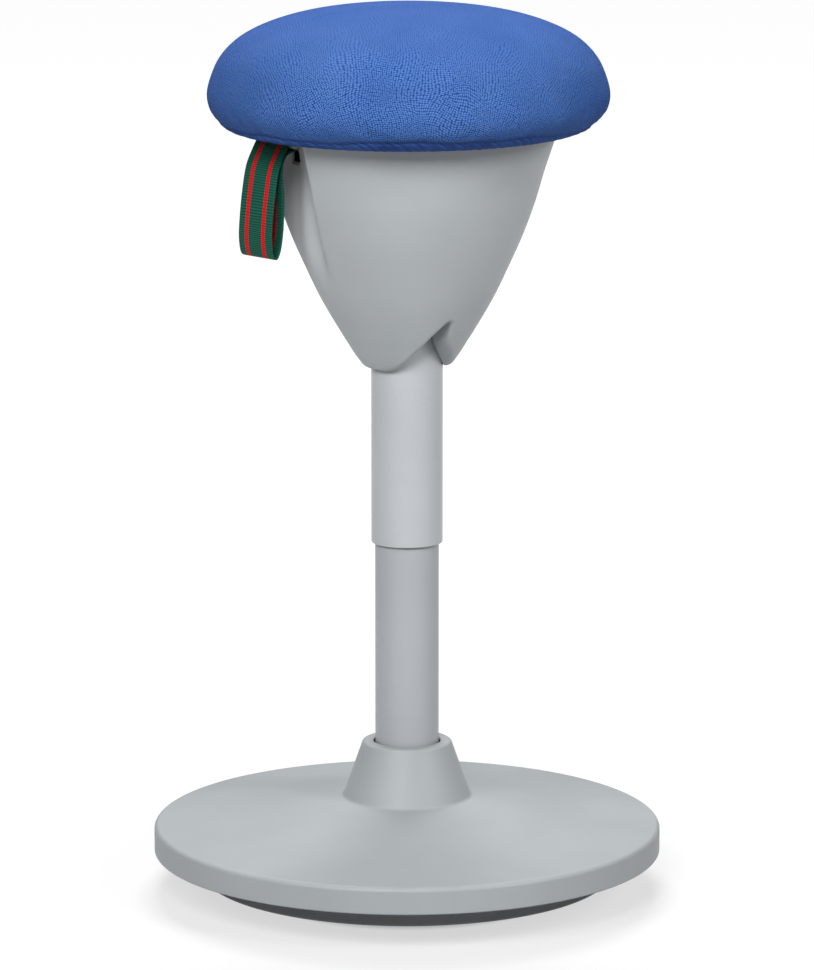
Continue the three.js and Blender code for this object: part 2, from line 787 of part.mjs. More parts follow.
// A flat arm with the round bar across its end that a webbing loop hangs on
function armWithBar(from) {
  const reach = loopBarCircle - slotPlay - from;
  const arm = new THREE.BoxGeometry(reach, leverWidth, leverThickness);
  arm.translate(from + reach / 2, 0, leverHeight);
  const bar = new THREE.CylinderGeometry(loopBarRadius, loopBarRadius,
    webbingWidth + 2 * loopBarOverhang, smallFacets);
  bar.rotateZ(THREE.MathUtils.degToRad(loopBarTurn));
  bar.translate(loopBarCircle, 0, loopBarHeight);
  return join(arm, bar);
}

function releaseLever() {
  const barrel = new THREE.CylinderGeometry(leverEyeRadius, leverEyeRadius, leverWidth, smallFacets);
  barrel.translate(-leverPivotRadius, 0, leverHeight);
  const hole = leverPinGeometry(leverPinRadius + holeClearance, leverWidth + overrun);
  return cut(join(armWithBar(-leverPivotRadius), barrel), hole);
}

// Centre line of a webbing loop that hangs round a bar, in run-out and height
function loopLine(steps) {
  const wrap = loopBarRadius + touchGap + webbingThickness / 2;
  const over = arc(0, 0, wrap, halfTurn / 4, halfTurn)
    .map(([out, height]) => new THREE.Vector3(out, height, 0));
  const hanging = loopShares.map(([outShare, dropShare]) =>
    new THREE.Vector3(outShare * loopWidth, dropShare * loopDrop, 0));
  const curve = new THREE.CatmullRomCurve3([...over, ...hanging], true, "centripetal");
  return curve.getPoints(steps).slice(0, -1);
}

// A loop is one strip sewn to a ring, with a slit where the arm passes through to its bar
function webbingLoop() {
  const line = loopLine(loopSteps);
  const offset = (side) => line.map((point, index) => {
    const before = line[(index + line.length - 1) % line.length];
    const after = line[(index + 1) % line.length];
    const run = new THREE.Vector2(after.x - before.x, after.y - before.y).normalize();
    const out = (side * webbingThickness) / 2;
    return new THREE.Vector2(point.x + run.y * out, point.y - run.x * out);
  });
  const outline = new THREE.Shape(offset(1));
  outline.holes.push(new THREE.Path(offset(-1)));
  const loop = new THREE.ExtrudeGeometry(outline, { depth: webbingWidth, bevelEnabled: false });
  loop.translate(0, 0, -webbingWidth / 2);
  loop.rotateX(Math.PI / 2);
  loop.rotateZ(THREE.MathUtils.degToRad(loopBarTurn));
  const slit = new THREE.BoxGeometry(webbingSlitLength, leverWidth + slotPlay, webbingSlitHeight);
  slit.translate(webbingSlitFront - webbingSlitLength / 2, 0, -webbingSlitHeight / 2);
  return cut(loop, slit);
}

function carryHanger() {
  const foot = new THREE.BoxGeometry(hangerFootLength, hangerFootWidth, hatTop - leverBottom);
  foot.translate(hangerFootCircle, 0, (hatTop + leverBottom) / 2);
  const hole = post(screwRadius + holeClearance, leverBottom - overrun, hatTop + overrun);
  hole.translate(hangerFootCircle, 0, 0);
  return cut(join(armWithBar(hangerFootCircle), foot), hole);
}

// Finishes
function finish(color, roughness, metalness = 0) {
  return new THREE.MeshStandardMaterial({ color, roughness, metalness });
}

const greyPlastic = () => finish(0xa6abae, 0.5);
const greyTube = () => finish(0xa9aeb1, 0.42);
const blueFabric = () => finish(0x3f6bc4, 0.9);
const webbing = () => finish(0x1b5a45, 0.85);
const rubber = () => finish(0x55585c, 0.85);
const blackPlastic = () => finish(0x222427, 0.55);
const castIron = () => finish(0x3c3e40, 0.7, 0.6);
const steel = () => finish(0xb9bcc0, 0.35, 1);
const blackSteel = () => finish(0x2a2c2e, 0.5, 0.7);
const plywood = () => finish(0xc9a77a, 0.8);
const foam = () => finish(0xe9e2cf, 0.95);

function piece(name, geometry, material) {
  const mesh = new THREE.Mesh(geometry, material);
  mesh.name = name;
  return mesh;
}

// Copies of one piece, numbered from 1, standing on a circle
function circleOf(name, geometry, material, azimuths, circle, height) {
  return azimuths.map((azimuth, index) => {
    const mesh = piece(`${name}_${index + 1}`, geometry, material());
    mesh.position.copy(around(azimuth, circle, height));
    mesh.rotation.z = facing(azimuth);
    return mesh;
  });
}

const base = new THREE.Group();
base.add(
  piece("rocker_pad", rockerPad(), rubber()),
  piece("ballast_plate", ballastPlate(), castIron()),
  piece("base_cover", baseCover(), greyPlastic()),
  piece("column_socket", columnSocket(), blackSteel()),
  piece("stand_tube", ring(tubeBore, tubeRadius, tubeBottom, tubeTop, tubeFacets), greyTube()),
  piece("tube_end_plate", ring(rodRadius + touchGap, tubeBore - touchGap, endPlateBottom, endPlateTop,
    tubeFacets), steel()),
  piece("guide_bush", guideBush(), blackPlastic()),
  piece("bearing_lower_washer", ring(rodRadius + touchGap, washerRadius, lowerWasherBottom,
    lowerWasherBottom + washerThickness, tubeFacets), steel()),
  piece("bearing_ball_cage", ballCage(), steel()),
  ...circleOf("pad_screw", countersunkScrew(padScrewLength), steel,
    padScrewAzimuths, padScrewCircle, padTop - padScrewWeb - touchGap),
  ...circleOf("cover_screw", countersunkScrew(coverScrewLength), steel,
    coverScrewAzimuths, coverBossCircle, ballastBottom + screwHeadHeight),
);
const socketBoltReach = socketFlangeThickness + ballastThickness;
const socketBolt = hexBolt(boltRadius, boltHeadRadius, boltHeadHeight, socketBoltReach);
socketBolt.rotateX(Math.PI);
base.add(...circleOf("socket_bolt", socketBolt, steel, socketBoltAzimuths,
  socketBoltCircle, socketBottom + socketFlangeThickness + touchGap));

const rod = new THREE.Group();
rod.add(
  piece("piston_rod", pistonRod(), steel()),
  piece("rod_clip", ring(rodRadius - rodClipGroove + touchGap, rodClipRadius,
    endPlateBottom - touchGap - rodClipThickness, endPlateBottom - touchGap, tubeFacets), blackSteel()),
  piece("bearing_upper_washer", ring(rodRadius + touchGap, washerRadius, upperWasherBottom,
    upperWasherBottom + washerThickness, tubeFacets), steel()),
  piece("bump_rubber", ring(rodRadius + touchGap, bumperRadius, bumperBottom,
    bumperBottom + bumperLength, tubeFacets), rubber()),
  piece("piston", ring(rodRadius + touchGap, cylinderBore - pistonPlay, pistonBottom,
    pistonBottom + pistonThickness, tubeFacets), blackPlastic()),
);

const seat = new THREE.Group();
seat.add(
  piece("gas_cylinder", gasCylinder(), blackSteel()),
  piece("cylinder_gland", ring(rodRadius + runningClearance, cylinderBore - touchGap, glandBottom,
    glandBottom + glandThickness, tubeFacets), blackPlastic()),
  piece("outer_sleeve", outerSleeve(), greyTube()),
  piece("sleeve_ring", ring(cylinderRadius + touchGap, sleeveBore - touchGap, sleeveTop - sleeveRingThickness,
    sleeveTop, tubeFacets), blackPlastic()),
  piece("seat_bracket", seatBracket(), blackSteel()),
  piece("seat_board", seatBoard(), plywood()),
  piece("seat_foam", seatFoam(), foam()),
  piece("seat_cover", seatCover(), blueFabric()),
  piece("shroud", shroud(), greyPlastic()),
  ...circleOf("shroud_clip", shroudClip(), blackPlastic, clipAzimuths, clipCircle,
    shroudFlangeBottom - touchGap),
  ...circleOf("bracket_bolt", hexBolt(bracketBoltRadius, bracketBoltHeadRadius, bracketBoltHeadHeight,
    boardThickness), steel, bracketBoltAzimuths, bracketBoltCircle,
    hatTop - bracketSheet - touchGap),
  ...circleOf("tee_nut", teeNut(), steel, bracketBoltAzimuths, bracketBoltCircle,
    boardTop - teeNutLength - teeNutFlangeThickness),
);

// Everything on the lever's line is drawn with its arm along local +X and then turned
const leverLine = new THREE.Group();
leverLine.rotation.z = facing(leverAzimuth);
const pullLoop = piece("pull_loop", webbingLoop(), webbing());
pullLoop.position.set(loopBarCircle, 0, loopBarHeight);
leverLine.add(
  piece("lever_pivot_pin", leverPinGeometry(leverPinRadius, leverPinLength), steel()),
  piece("release_lever", releaseLever(), blackSteel()),
  pullLoop,
);

const carryLine = new THREE.Group();
carryLine.rotation.z = facing(carryAzimuth);
const carryLoop = piece("carry_loop", webbingLoop(), webbing());
carryLoop.position.set(loopBarCircle, 0, loopBarHeight);
const hangerScrew = piece("hanger_screw", countersunkScrew(hangerScrewLength), steel());
hangerScrew.position.set(hangerFootCircle, 0, hangerScrewSeat);
carryLine.add(piece("carry_hanger", carryHanger(), blackSteel()), carryLoop, hangerScrew);

const valve = new THREE.Group();
const valvePin = post(valvePinRadius, valvePinTop - valvePinLength, valvePinTop, tubeFacets);
valve.add(piece("valve_pin", valvePin, steel()));

const wobbleStool = new THREE.Group();
wobbleStool.add(base, rod, seat, leverLine, carryLine, valve);
export default wobbleStool;
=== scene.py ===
# %% [markdown]
# # A wobble stool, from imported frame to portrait
# The construction of the stool is already settled: every piece has its place, and the moving ones
# ride on bodies. This lesson gives the stool its looks. The frame is loaded first and never moved,
# and every piece made here goes exactly where the piece that it stands for is.

import math

import bmesh
import bpy
import numpy as np
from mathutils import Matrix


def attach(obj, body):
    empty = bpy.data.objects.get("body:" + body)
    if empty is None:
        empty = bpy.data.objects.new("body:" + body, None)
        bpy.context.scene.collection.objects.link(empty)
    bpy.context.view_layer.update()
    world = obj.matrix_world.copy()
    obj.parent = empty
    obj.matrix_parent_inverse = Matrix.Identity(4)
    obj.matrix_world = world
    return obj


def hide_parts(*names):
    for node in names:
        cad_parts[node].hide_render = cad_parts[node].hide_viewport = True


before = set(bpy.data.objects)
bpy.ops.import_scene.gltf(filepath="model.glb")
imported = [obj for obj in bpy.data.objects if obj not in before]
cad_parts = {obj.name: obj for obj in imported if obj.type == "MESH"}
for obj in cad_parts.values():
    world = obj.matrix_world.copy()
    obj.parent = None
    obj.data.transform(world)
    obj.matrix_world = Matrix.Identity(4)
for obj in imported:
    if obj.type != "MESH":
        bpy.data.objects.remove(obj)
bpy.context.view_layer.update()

# %% [markdown]
# ## The sizes of the stool
# A maker measures the stool in millimetres, and Blender counts in metres, so every outline below is
# written in millimetres and turned into metres only when it becomes a mesh. The heights are those of
# the stool with its gas lift fully out. An azimuth is in degrees from the front, towards the right.

# %% Sizes that several pieces share
MM = 0.001
TOUCH_GAP = 0.3
PAD_RADIUS = 163
PAD_RIM_HEIGHT = 13.56
PAD_TOP = 35.96
BALLAST_TOP = 45.26
COVER_RADIUS = 200
COVER_BOTTOM = 32.46
COVER_SKIRT_TOP = 53.8
COLLAR_FOOT = 75.8
COLLAR_TOP = 120.46
TUBE_RADIUS = 25
SLEEVE_RADIUS = 28
SHROUD_FOOT = 420.5
SHROUD_TOP = 608.7
BOARD_BOTTOM = 609
BOARD_TOP = 621
CUSHION_RADIUS = 156
COVER_OFF_CENTRE = 1.2
LEVER_AZIMUTH = -76
CARRY_AZIMUTH = 137
ARM_HEIGHT = 595.7
ARM_WIDTH = 8
ARM_THICKNESS = 5
LOOP_BAR_CIRCLE = 102.2
LOOP_BAR_HEIGHT = 599.2

print("base", 2 * COVER_RADIUS, "mm across, cushion", 2 * CUSHION_RADIUS, "mm across")

# %% [markdown]
# ## From a grid of points to a piece
# Almost every surface here is a grid: rows that follow a profile, and columns that go round it or
# across it. One helper joins neighbouring points of the grid with four-sided faces. Where a profile
# reaches the middle line or closes on itself, points fall together, and merging them closes the piece.

# %% Grids and pieces
MERGE_DISTANCE = 0.002


def grid_quads(rows, columns, wrap_rows, wrap_columns):
    """Corners of the quads of a grid: row r and column c, then the next column, both next, the next row."""
    r = np.arange(rows if wrap_rows else rows - 1)[:, None]
    c = np.arange(columns if wrap_columns else columns - 1)[None, :]
    next_r, next_c = (r + 1) % rows, (c + 1) % columns
    corners = [r * columns + c, r * columns + next_c, next_r * columns + next_c, next_r * columns + c]
    return np.stack(np.broadcast_arrays(*corners), axis=-1).reshape(-1, 4)


def piece_from(name, points_mm, quads):
    """A smooth-shaded piece at the origin, in metres, with the points that fall together merged."""
    mesh = bpy.data.meshes.new(name)
    mesh.from_pydata((points_mm.reshape(-1, 3) * MM).tolist(), [], quads.tolist())
    work = bmesh.new()
    work.from_mesh(mesh)
    bmesh.ops.remove_doubles(work, verts=work.verts, dist=MERGE_DISTANCE * MM)
    bmesh.ops.dissolve_degenerate(work, edges=work.edges, dist=MERGE_DISTANCE * MM)
    work.to_mesh(mesh)
    work.free()
    mesh.shade_smooth()
    piece = bpy.data.objects.new(name, mesh)
    bpy.context.scene.collection.objects.link(piece)
    return piece


def around_axis(radius, azimuth):
    """x and y of a point from its distance and its azimuth in radians: (r sin a, -r cos a)."""
    return radius * np.sin(azimuth), -radius * np.cos(azimuth)


def rotated(x, y, degrees):
    """The same points after a turn about the axis."""
    cosine, sine = math.cos(math.radians(degrees)), math.sin(math.radians(degrees))
    return x * cosine - y * sine, x * sine + y * cosine


def turned(name, profile, segments=160):
    """A turned piece: each profile pair (radius, height) goes round the axis."""
    radius, height = np.array(profile, float).T
    azimuth = np.linspace(0, 2 * np.pi, segments, endpoint=False)
    rings = around_axis(radius[:, None], azimuth)
    points = np.stack([*rings, np.outer(height, np.ones(segments))], axis=-1)
    return piece_from(name, points, grid_quads(len(radius), segments, False, True))


def run_along(points, power=1):
    """The distance run at each point of a line, with each stretch raised to a power."""
    return np.concatenate([[0], np.cumsum(np.linalg.norm(np.diff(points, axis=0), axis=1) ** power)])


def even_steps(points, steps, curve=np.interp):
    """Points at equal distances along a line, joined by straight stretches or by another curve."""
    run = run_along(points)
    at = np.linspace(0, run[-1], steps)
    return np.stack([curve(at, run, points[:, axis]) for axis in (0, 1)], axis=-1)


def rounded(corners, steps=6):
    """Rounds an outline: at a corner (radius, height, round) an arc touches both sides that meet there."""
    corners = [np.array(corner, float) for corner in corners]
    line = [corners[0][:2]]
    for before, corner, after in zip(corners, corners[1:], corners[2:]):
        here, bend = corner[:2], corner[2]
        if bend == 0:
            line.append(here)
            continue
        back = (before[:2] - here) / np.linalg.norm(before[:2] - here)
        ahead = (after[:2] - here) / np.linalg.norm(after[:2] - here)
        half = np.arccos(np.clip(back @ ahead, -1, 1)) / 2
        middle = (back + ahead) / np.linalg.norm(back + ahead)
        centre = here + middle * bend / np.sin(half)
        start = here + back * bend / np.tan(half) - centre
        end = here + ahead * bend / np.tan(half) - centre
        turn = np.pi - 2 * half
        share = np.linspace(0, 1, steps + 1)[:, None]
        arc = (np.sin((1 - share) * turn) * start + np.sin(share * turn) * end) / np.sin(turn)
        line.extend(centre + arc)
    line.append(corners[-1][:2])
    return np.array(line)


def crisp(piece):
    """Shades flat faces flat and leaves the bend to the narrow faces of the roundings."""
    piece.modifiers.new("even_shading", "WEIGHTED_NORMAL").weight = 80
    return piece


def cut_away(piece, *tools):
    """Takes the tools out of the piece and throws the tools away."""
    for tool in tools:
        carve = piece.modifiers.new("carve", "BOOLEAN")
        carve.operation, carve.solver, carve.object = "DIFFERENCE", "EXACT", tool
    apply_all(piece)
    for tool in tools:
        bpy.data.objects.remove(tool)
    return piece


def apply_all(piece):
    """Puts the result of the modifiers into the mesh and takes the modifiers off."""
    seen = piece.evaluated_get(bpy.context.evaluated_depsgraph_get())
    mesh = bpy.data.meshes.new_from_object(seen)
    piece.modifiers.clear()
    piece.data = mesh
    mesh.shade_smooth()
    return piece


def joined(piece, *others):
    """Adds the meshes of the others to the piece as separate shells."""
    work = bmesh.new()
    for part in (piece, *others):
        work.from_mesh(part.data)
    work.to_mesh(piece.data)
    work.free()
    for part in others:
        bpy.data.objects.remove(part)
    return piece


def block_along(name, azimuth, start, end, width, bottom, top):
    """A block that runs outwards along an azimuth, from one radius to another."""
    across, out, up = np.meshgrid([-width / 2, width / 2], [start, end], [bottom, top], indexing="ij")
    x, y = rotated(across, -out, azimuth)
    quads = np.array([[0, 1, 3, 2], [4, 6, 7, 5], [0, 4, 5, 1], [2, 3, 7, 6], [0, 2, 6, 4], [1, 5, 7, 3]])
    return piece_from(name, np.stack([x, y, up], axis=-1), quads[:, ::-1])


def count(piece):
    """The number of triangles that the piece shows."""
    seen = piece.evaluated_get(bpy.context.evaluated_depsgraph_get())
    return sum(len(face.vertices) - 2 for face in seen.data.polygons)


print("helpers ready")

# %% [markdown]
# ## The camera
# The stool was photographed from 4.4 m away with a long lens, half a metre above the seat and
# looking slightly down, so the top of the disc shows and the uprights stay upright. The same place
# and lens make the same picture.

# %% Camera
CAMERA_PLACE = (0, -4.400, 1.215)
CAMERA_DOWN = 11.43
FOCAL_SHARE = 5733 / 970

camera_data = bpy.data.cameras.new("camera")
camera_data.lens = camera_data.sensor_width * FOCAL_SHARE
camera = bpy.data.objects.new("camera", camera_data)
camera.location = CAMERA_PLACE
camera.rotation_euler = (math.radians(90 - CAMERA_DOWN), 0, 0)
bpy.context.scene.collection.objects.link(camera)
bpy.context.scene.camera = camera
print("camera lens:", round(camera_data.lens, 1), "mm")

# %% [markdown]
# ## The rocking foot
# Underneath sits a domed rubber pad. Its flat patch in the middle carries the stool when it is
# upright, and the arc around the patch lets it roll. It could be a cut sphere, but a turned profile
# gives the flat, the arc and the small round at the rim in one line. Four screws sit deep in it.

# %% Rocker pad
PAD_FLAT = 60
PAD_ARC = 398
PAD_SCREW_CIRCLE = 110
PAD_SCREW_WEB = 8
SCREW_HEAD_HOLE = 5.4
SCREW_SHANK_HOLE = 2.9
OVERRUN = 4


def pad_profile():
    """Flat out to PAD_FLAT, then height = R - sqrt(R^2 - (r - flat)^2) up to the rim, then the side."""
    radius = np.linspace(PAD_FLAT, PAD_RADIUS - 1, 24)
    height = PAD_ARC - np.sqrt(PAD_ARC**2 - (radius - PAD_FLAT) ** 2)
    arc = [(r, z, 0) for r, z in zip(radius, height)]
    side = [(PAD_RADIUS, PAD_RIM_HEIGHT + 1.5, 1.2), (PAD_RADIUS, PAD_TOP, 2.5), (0, PAD_TOP, 0)]
    return rounded([(0, 0, 0), *arc, *side])


def screw_recess(azimuth):
    """The stepped hole for one screw: wide for the head, narrow for the shank."""
    step, end = PAD_TOP - PAD_SCREW_WEB, PAD_TOP + OVERRUN
    head = [(0, -OVERRUN), (SCREW_HEAD_HOLE, -OVERRUN), (SCREW_HEAD_HOLE, step)]
    shank = [(SCREW_SHANK_HOLE, step), (SCREW_SHANK_HOLE, end), (0, end)]
    hole = turned("recess", head + shank, 24)
    x, y = around_axis(PAD_SCREW_CIRCLE, math.radians(azimuth))
    hole.location = (x * MM, y * MM, 0)
    return hole


rocker_pad = turned("rocker_pad_rubber", pad_profile())
cut_away(rocker_pad, *[screw_recess(azimuth) for azimuth in (0, 90, 180, 270)])
crisp(rocker_pad)
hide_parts("rocker_pad")
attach(rocker_pad, "base")
print("rocker pad:", count(rocker_pad), "triangles")

# %% [markdown]
# ## The base cover
# The grey disc is one moulding: a skirt, a very shallow cone, and a collar that the tube rises from.
# On the real cover the corners are all soft, because a mould has to let go of it, so every corner of
# the outline carries its own rounding. Ribs stand inside it and rest on the ballast plate.

# %% Base cover
COVER_WALL = 3
COLLAR_FOOT_RADIUS = 50.4
COLLAR_TOP_RADIUS = 34.8
COLLAR_HOLE = 26.4
RIB_START = 64
RIB_WIDTH = 2.4
RIB_COUNT = 8


def cover_profile():
    """Up the skirt, in over the cone, up the collar, down its bore, and back along the inside."""
    return rounded([
        (COVER_RADIUS - COVER_WALL / 2, COVER_BOTTOM, 0),
        (COVER_RADIUS, COVER_BOTTOM, 1.2),
        (COVER_RADIUS, COVER_SKIRT_TOP - 0.4, 4),
        (COLLAR_FOOT_RADIUS, COLLAR_FOOT, 3.5),
        (COLLAR_TOP_RADIUS, COLLAR_TOP, 3),
        (COLLAR_HOLE, COLLAR_TOP, 1),
        (COLLAR_HOLE, COLLAR_TOP - COVER_WALL, 0),
        (COLLAR_TOP_RADIUS - COVER_WALL, COLLAR_TOP - COVER_WALL - 1, 1),
        (COLLAR_FOOT_RADIUS - COVER_WALL, COLLAR_FOOT - COVER_WALL, 4),
        (COVER_RADIUS - COVER_WALL, COVER_SKIRT_TOP - COVER_WALL, 2),
        (COVER_RADIUS - COVER_WALL, COVER_BOTTOM, 0.8),
        (COVER_RADIUS - COVER_WALL / 2, COVER_BOTTOM, 0),
    ], steps=8)


def cover_ribs():
    """Radial webs that lie under the cone and stop short of its outside."""
    end = COVER_RADIUS - COVER_WALL / 2
    bottom, top = BALLAST_TOP + TOUCH_GAP, COVER_SKIRT_TOP - COVER_WALL / 2
    return [
        block_along("rib", index * 360 / RIB_COUNT, RIB_START, end, RIB_WIDTH, bottom, top)
        for index in range(RIB_COUNT)
    ]


base_cover = turned("base_cover_moulding", cover_profile(), 240)
joined(base_cover, *cover_ribs())
crisp(base_cover)
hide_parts("base_cover")
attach(base_cover, "base")
print("base cover:", count(base_cover), "triangles")

# %% [markdown]
# ## The column
# The column is a plain tube that stands in the base, and a wider sleeve that comes down over it with
# the seat. Both are drawn tubes with the sharp edge taken off, which is what catches the light at the
# foot of the sleeve.

# %% Stand tube and outer sleeve
TUBE_WALL = 1.5
TUBE_ENDS = (51.86, 329.86)
SLEEVE_WALL = 1.8
SLEEVE_ENDS = (280.5, 500)


def pipe(name, outer, wall, ends, edge):
    """A pipe: up outside, down inside, with a small round at the four corners of its wall."""
    inner, middle = outer - wall, outer - wall / 2
    bottom, top = ends
    profile = rounded([
        (middle, bottom, 0), (outer, bottom, edge), (outer, top, edge),
        (inner, top, edge), (inner, bottom, edge), (middle, bottom, 0),
    ])
    return crisp(turned(name, profile, 96))


stand_tube = pipe("stand_tube_painted", TUBE_RADIUS, TUBE_WALL, TUBE_ENDS, edge=0.4)
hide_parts("stand_tube")
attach(stand_tube, "base")

outer_sleeve = pipe("outer_sleeve_painted", SLEEVE_RADIUS, SLEEVE_WALL, SLEEVE_ENDS, edge=0.8)
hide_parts("outer_sleeve")
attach(outer_sleeve, "seat")
print("column:", count(stand_tube) + count(outer_sleeve), "triangles")

# %% [markdown]
# ## The shroud
# The moulded tulip under the seat is the piece that gives this stool its face. Two lobes close on the
# sleeve, and where they meet, in front and behind, a notch climbs: steep on one side, long and
# slanted on the other. Two soft flutes make room for the hand at the loops.
#
# It could be a turned solid with wedges cut out of it, but a cut leaves knife edges. Here the lower
# edge is a curve in its own right, and every column of the grid climbs from a point of that curve to
# the top. The edge then rolls over in a small arc and turns inwards to the sleeve, as a moulded wall
# does. A wall thickness closes it.

# %% The shroud's outside
SHROUD_PROFILE = np.array([
    [33.4, 420.5], [40.4, 430], [47, 440.5], [53.2, 450.5], [67.3, 475], [79.2, 500],
    [90.2, 525], [99.3, 550.1], [106.6, 575], [112.7, 593.7], [117.3, 608.7],
])
GRIP_AZIMUTHS = (-68, 145)
GRIP_OUTER = (23, 0.68, 0.8)
GRIP_SHOULDER = (25, 0.88, 1.05)
GRIP_DEPTH = 27.6
GRIP_FLOOR = 489
VALLEY_DEPTH = 6
VALLEY_HALF_ANGLE = 11.5
VALLEY_RISE = (481, 520)
VALLEY_FALL = (540, 590)


def smooth_curve(x, known_x, known_y):
    """Cubic Hermite pieces whose slopes are the mean of the neighbouring chords, so no kink shows."""
    chord = np.diff(known_y) / np.diff(known_x)
    slope = np.concatenate([chord[:1], (chord[1:] + chord[:-1]) / 2, chord[-1:]])
    at = np.clip(np.searchsorted(known_x, x) - 1, 0, len(chord) - 1)
    width = known_x[at + 1] - known_x[at]
    t = np.clip((x - known_x[at]) / width, 0, 1)
    rise = known_y[at] * (1 + 2 * t) * (1 - t) ** 2 + known_y[at + 1] * t**2 * (3 - 2 * t)
    return rise + width * (slope[at] * t * (1 - t) ** 2 - slope[at + 1] * t**2 * (1 - t))


def smooth_step(x, low, high):
    """0 below low, 1 above high, and 3t^2 - 2t^3 in between."""
    t = np.clip((x - low) / (high - low), 0, 1)
    return t * t * (3 - 2 * t)


def grip_side(turn, height, side):
    """One side of a flute, (1 - (turn / half angle)^2)^power, from its half angle, share and power.

    The half angle grows with the height, from that share of it at the floor of the flute.
    """
    half_angle, floor_share, power = side
    climb = np.clip((height - GRIP_FLOOR) / (SHROUD_TOP - GRIP_FLOOR), 0, 1)
    share = np.abs(turn) / (half_angle * (floor_share + (1 - floor_share) * climb))
    return (1 - np.minimum(share, 1) ** 2) ** power


def grip_depth(azimuth, height):
    """Depth of the two flutes: a crisp outer side, and a soft shoulder on the side of rising azimuth.

    Along the shoulder a shallow valley deepens the flute where its own rise has hardly begun.
    """
    rise = smooth_step(height, GRIP_FLOOR, SHROUD_TOP)
    shelf = smooth_step(height, *VALLEY_RISE) * (1 - smooth_step(height, *VALLEY_FALL))
    depth = 0
    for centre in GRIP_AZIMUTHS:
        turn = (azimuth - centre + 180) % 360 - 180
        outer, shoulder = (grip_side(turn, height, side) for side in (GRIP_OUTER, GRIP_SHOULDER))
        side = np.where(turn < 0, outer, shoulder)
        from_valley = np.abs(turn - VALLEY_HALF_ANGLE) / VALLEY_HALF_ANGLE
        valley = shelf * (1 - np.minimum(from_valley, 1) ** 2) ** 2
        depth = depth + GRIP_DEPTH * rise * side + VALLEY_DEPTH * valley
    return depth


def shroud_radius(azimuth, height):
    """The turned outline at that height, less the flute."""
    turned_radius = smooth_curve(height, SHROUD_PROFILE[:, 1], SHROUD_PROFILE[:, 0])
    return turned_radius - grip_depth(azimuth, height)


print("shroud radius half way up:", round(float(shroud_radius(np.array(0), np.array(514))), 1), "mm")

# %% The shroud's lower edge
NOTCH_AZIMUTH = 36
NOTCH_LINE = np.array([
    [-31, 420.5], [-29, 420.9], [-27.5, 422.3], [-25.9, 424.8], [-23.8, 430], [-21.2, 437.2], [-17.5, 444],
    [-13.8, 450.5], [-8.5, 458.2], [-5, 462.4], [-3.4, 463.6], [-2.2, 463.7], [-0.9, 462.6], [0.3, 459],
    [2, 449.9], [4.8, 443.5], [9, 438], [15.7, 430.2], [20.4, 425], [23.5, 422], [26.5, 420.7],
    [28.5, 420.5],
])
EDGE_COLUMNS = 360


def soften(values, passes):
    """Replaces each value of a closed row by a quarter, a half and a quarter of it and its neighbours."""
    for _ in range(passes):
        values = values / 2 + (np.roll(values, 1) + np.roll(values, -1)) / 4
    return values


def lower_edge():
    """Azimuths and heights of the edge: each notch line, laid on the cone by azimuth = asin(x / radius)."""
    across, height = NOTCH_LINE.T
    radius = smooth_curve(height, SHROUD_PROFILE[:, 1], SHROUD_PROFILE[:, 0])
    azimuth = NOTCH_AZIMUTH + np.degrees(np.arcsin(np.clip(across / radius, -1, 1)))
    half = np.stack([azimuth, height], axis=-1)
    flat_end = [azimuth[0] + 180, SHROUD_FOOT]
    as_length = np.array([radius.min() * np.pi / 180, 1])
    line = even_steps(np.vstack([half, flat_end]) * as_length, EDGE_COLUMNS // 2 + 1)[:-1] / as_length
    edge = np.vstack([line, line + [180, 0]])
    steady = np.linspace(0, 360, EDGE_COLUMNS, endpoint=False)
    return soften(edge[:, 0] - steady, 3) + steady, soften(edge[:, 1], 3)


edge_azimuth, edge_height = lower_edge()
print("lower edge from", round(edge_height.min(), 1), "to", round(edge_height.max(), 1), "mm")

# %% The shroud as one grid
SHROUD_WALL = 2.6
ROLL = 3
SLEEVE_GAP = 1
FLANGE_INNER = 84
RETURN_ROWS = 5
ROLL_ROWS = 7
CLIMB_ROWS = 59
CLIMB_POWER = 1.15
FLANGE_ROWS = 4
SLOT_REACH = (80, 125)
SLOT_PLAY = 1
LEVER_DIP = 8.5


def edge_normals(radius):
    """Unit vectors in the wall, square to the lower edge and into the lobes: mm around and mm up.

    The first and the last column take the direction of their neighbours.
    """
    around = np.radians(np.gradient(np.unwrap(edge_azimuth, period=360))) * radius
    up = np.gradient(edge_height)
    around[[0, -1]], up[[0, -1]] = around[[1, -2]], up[[1, -2]]
    length = np.hypot(around, up)
    return -up / length, around / length


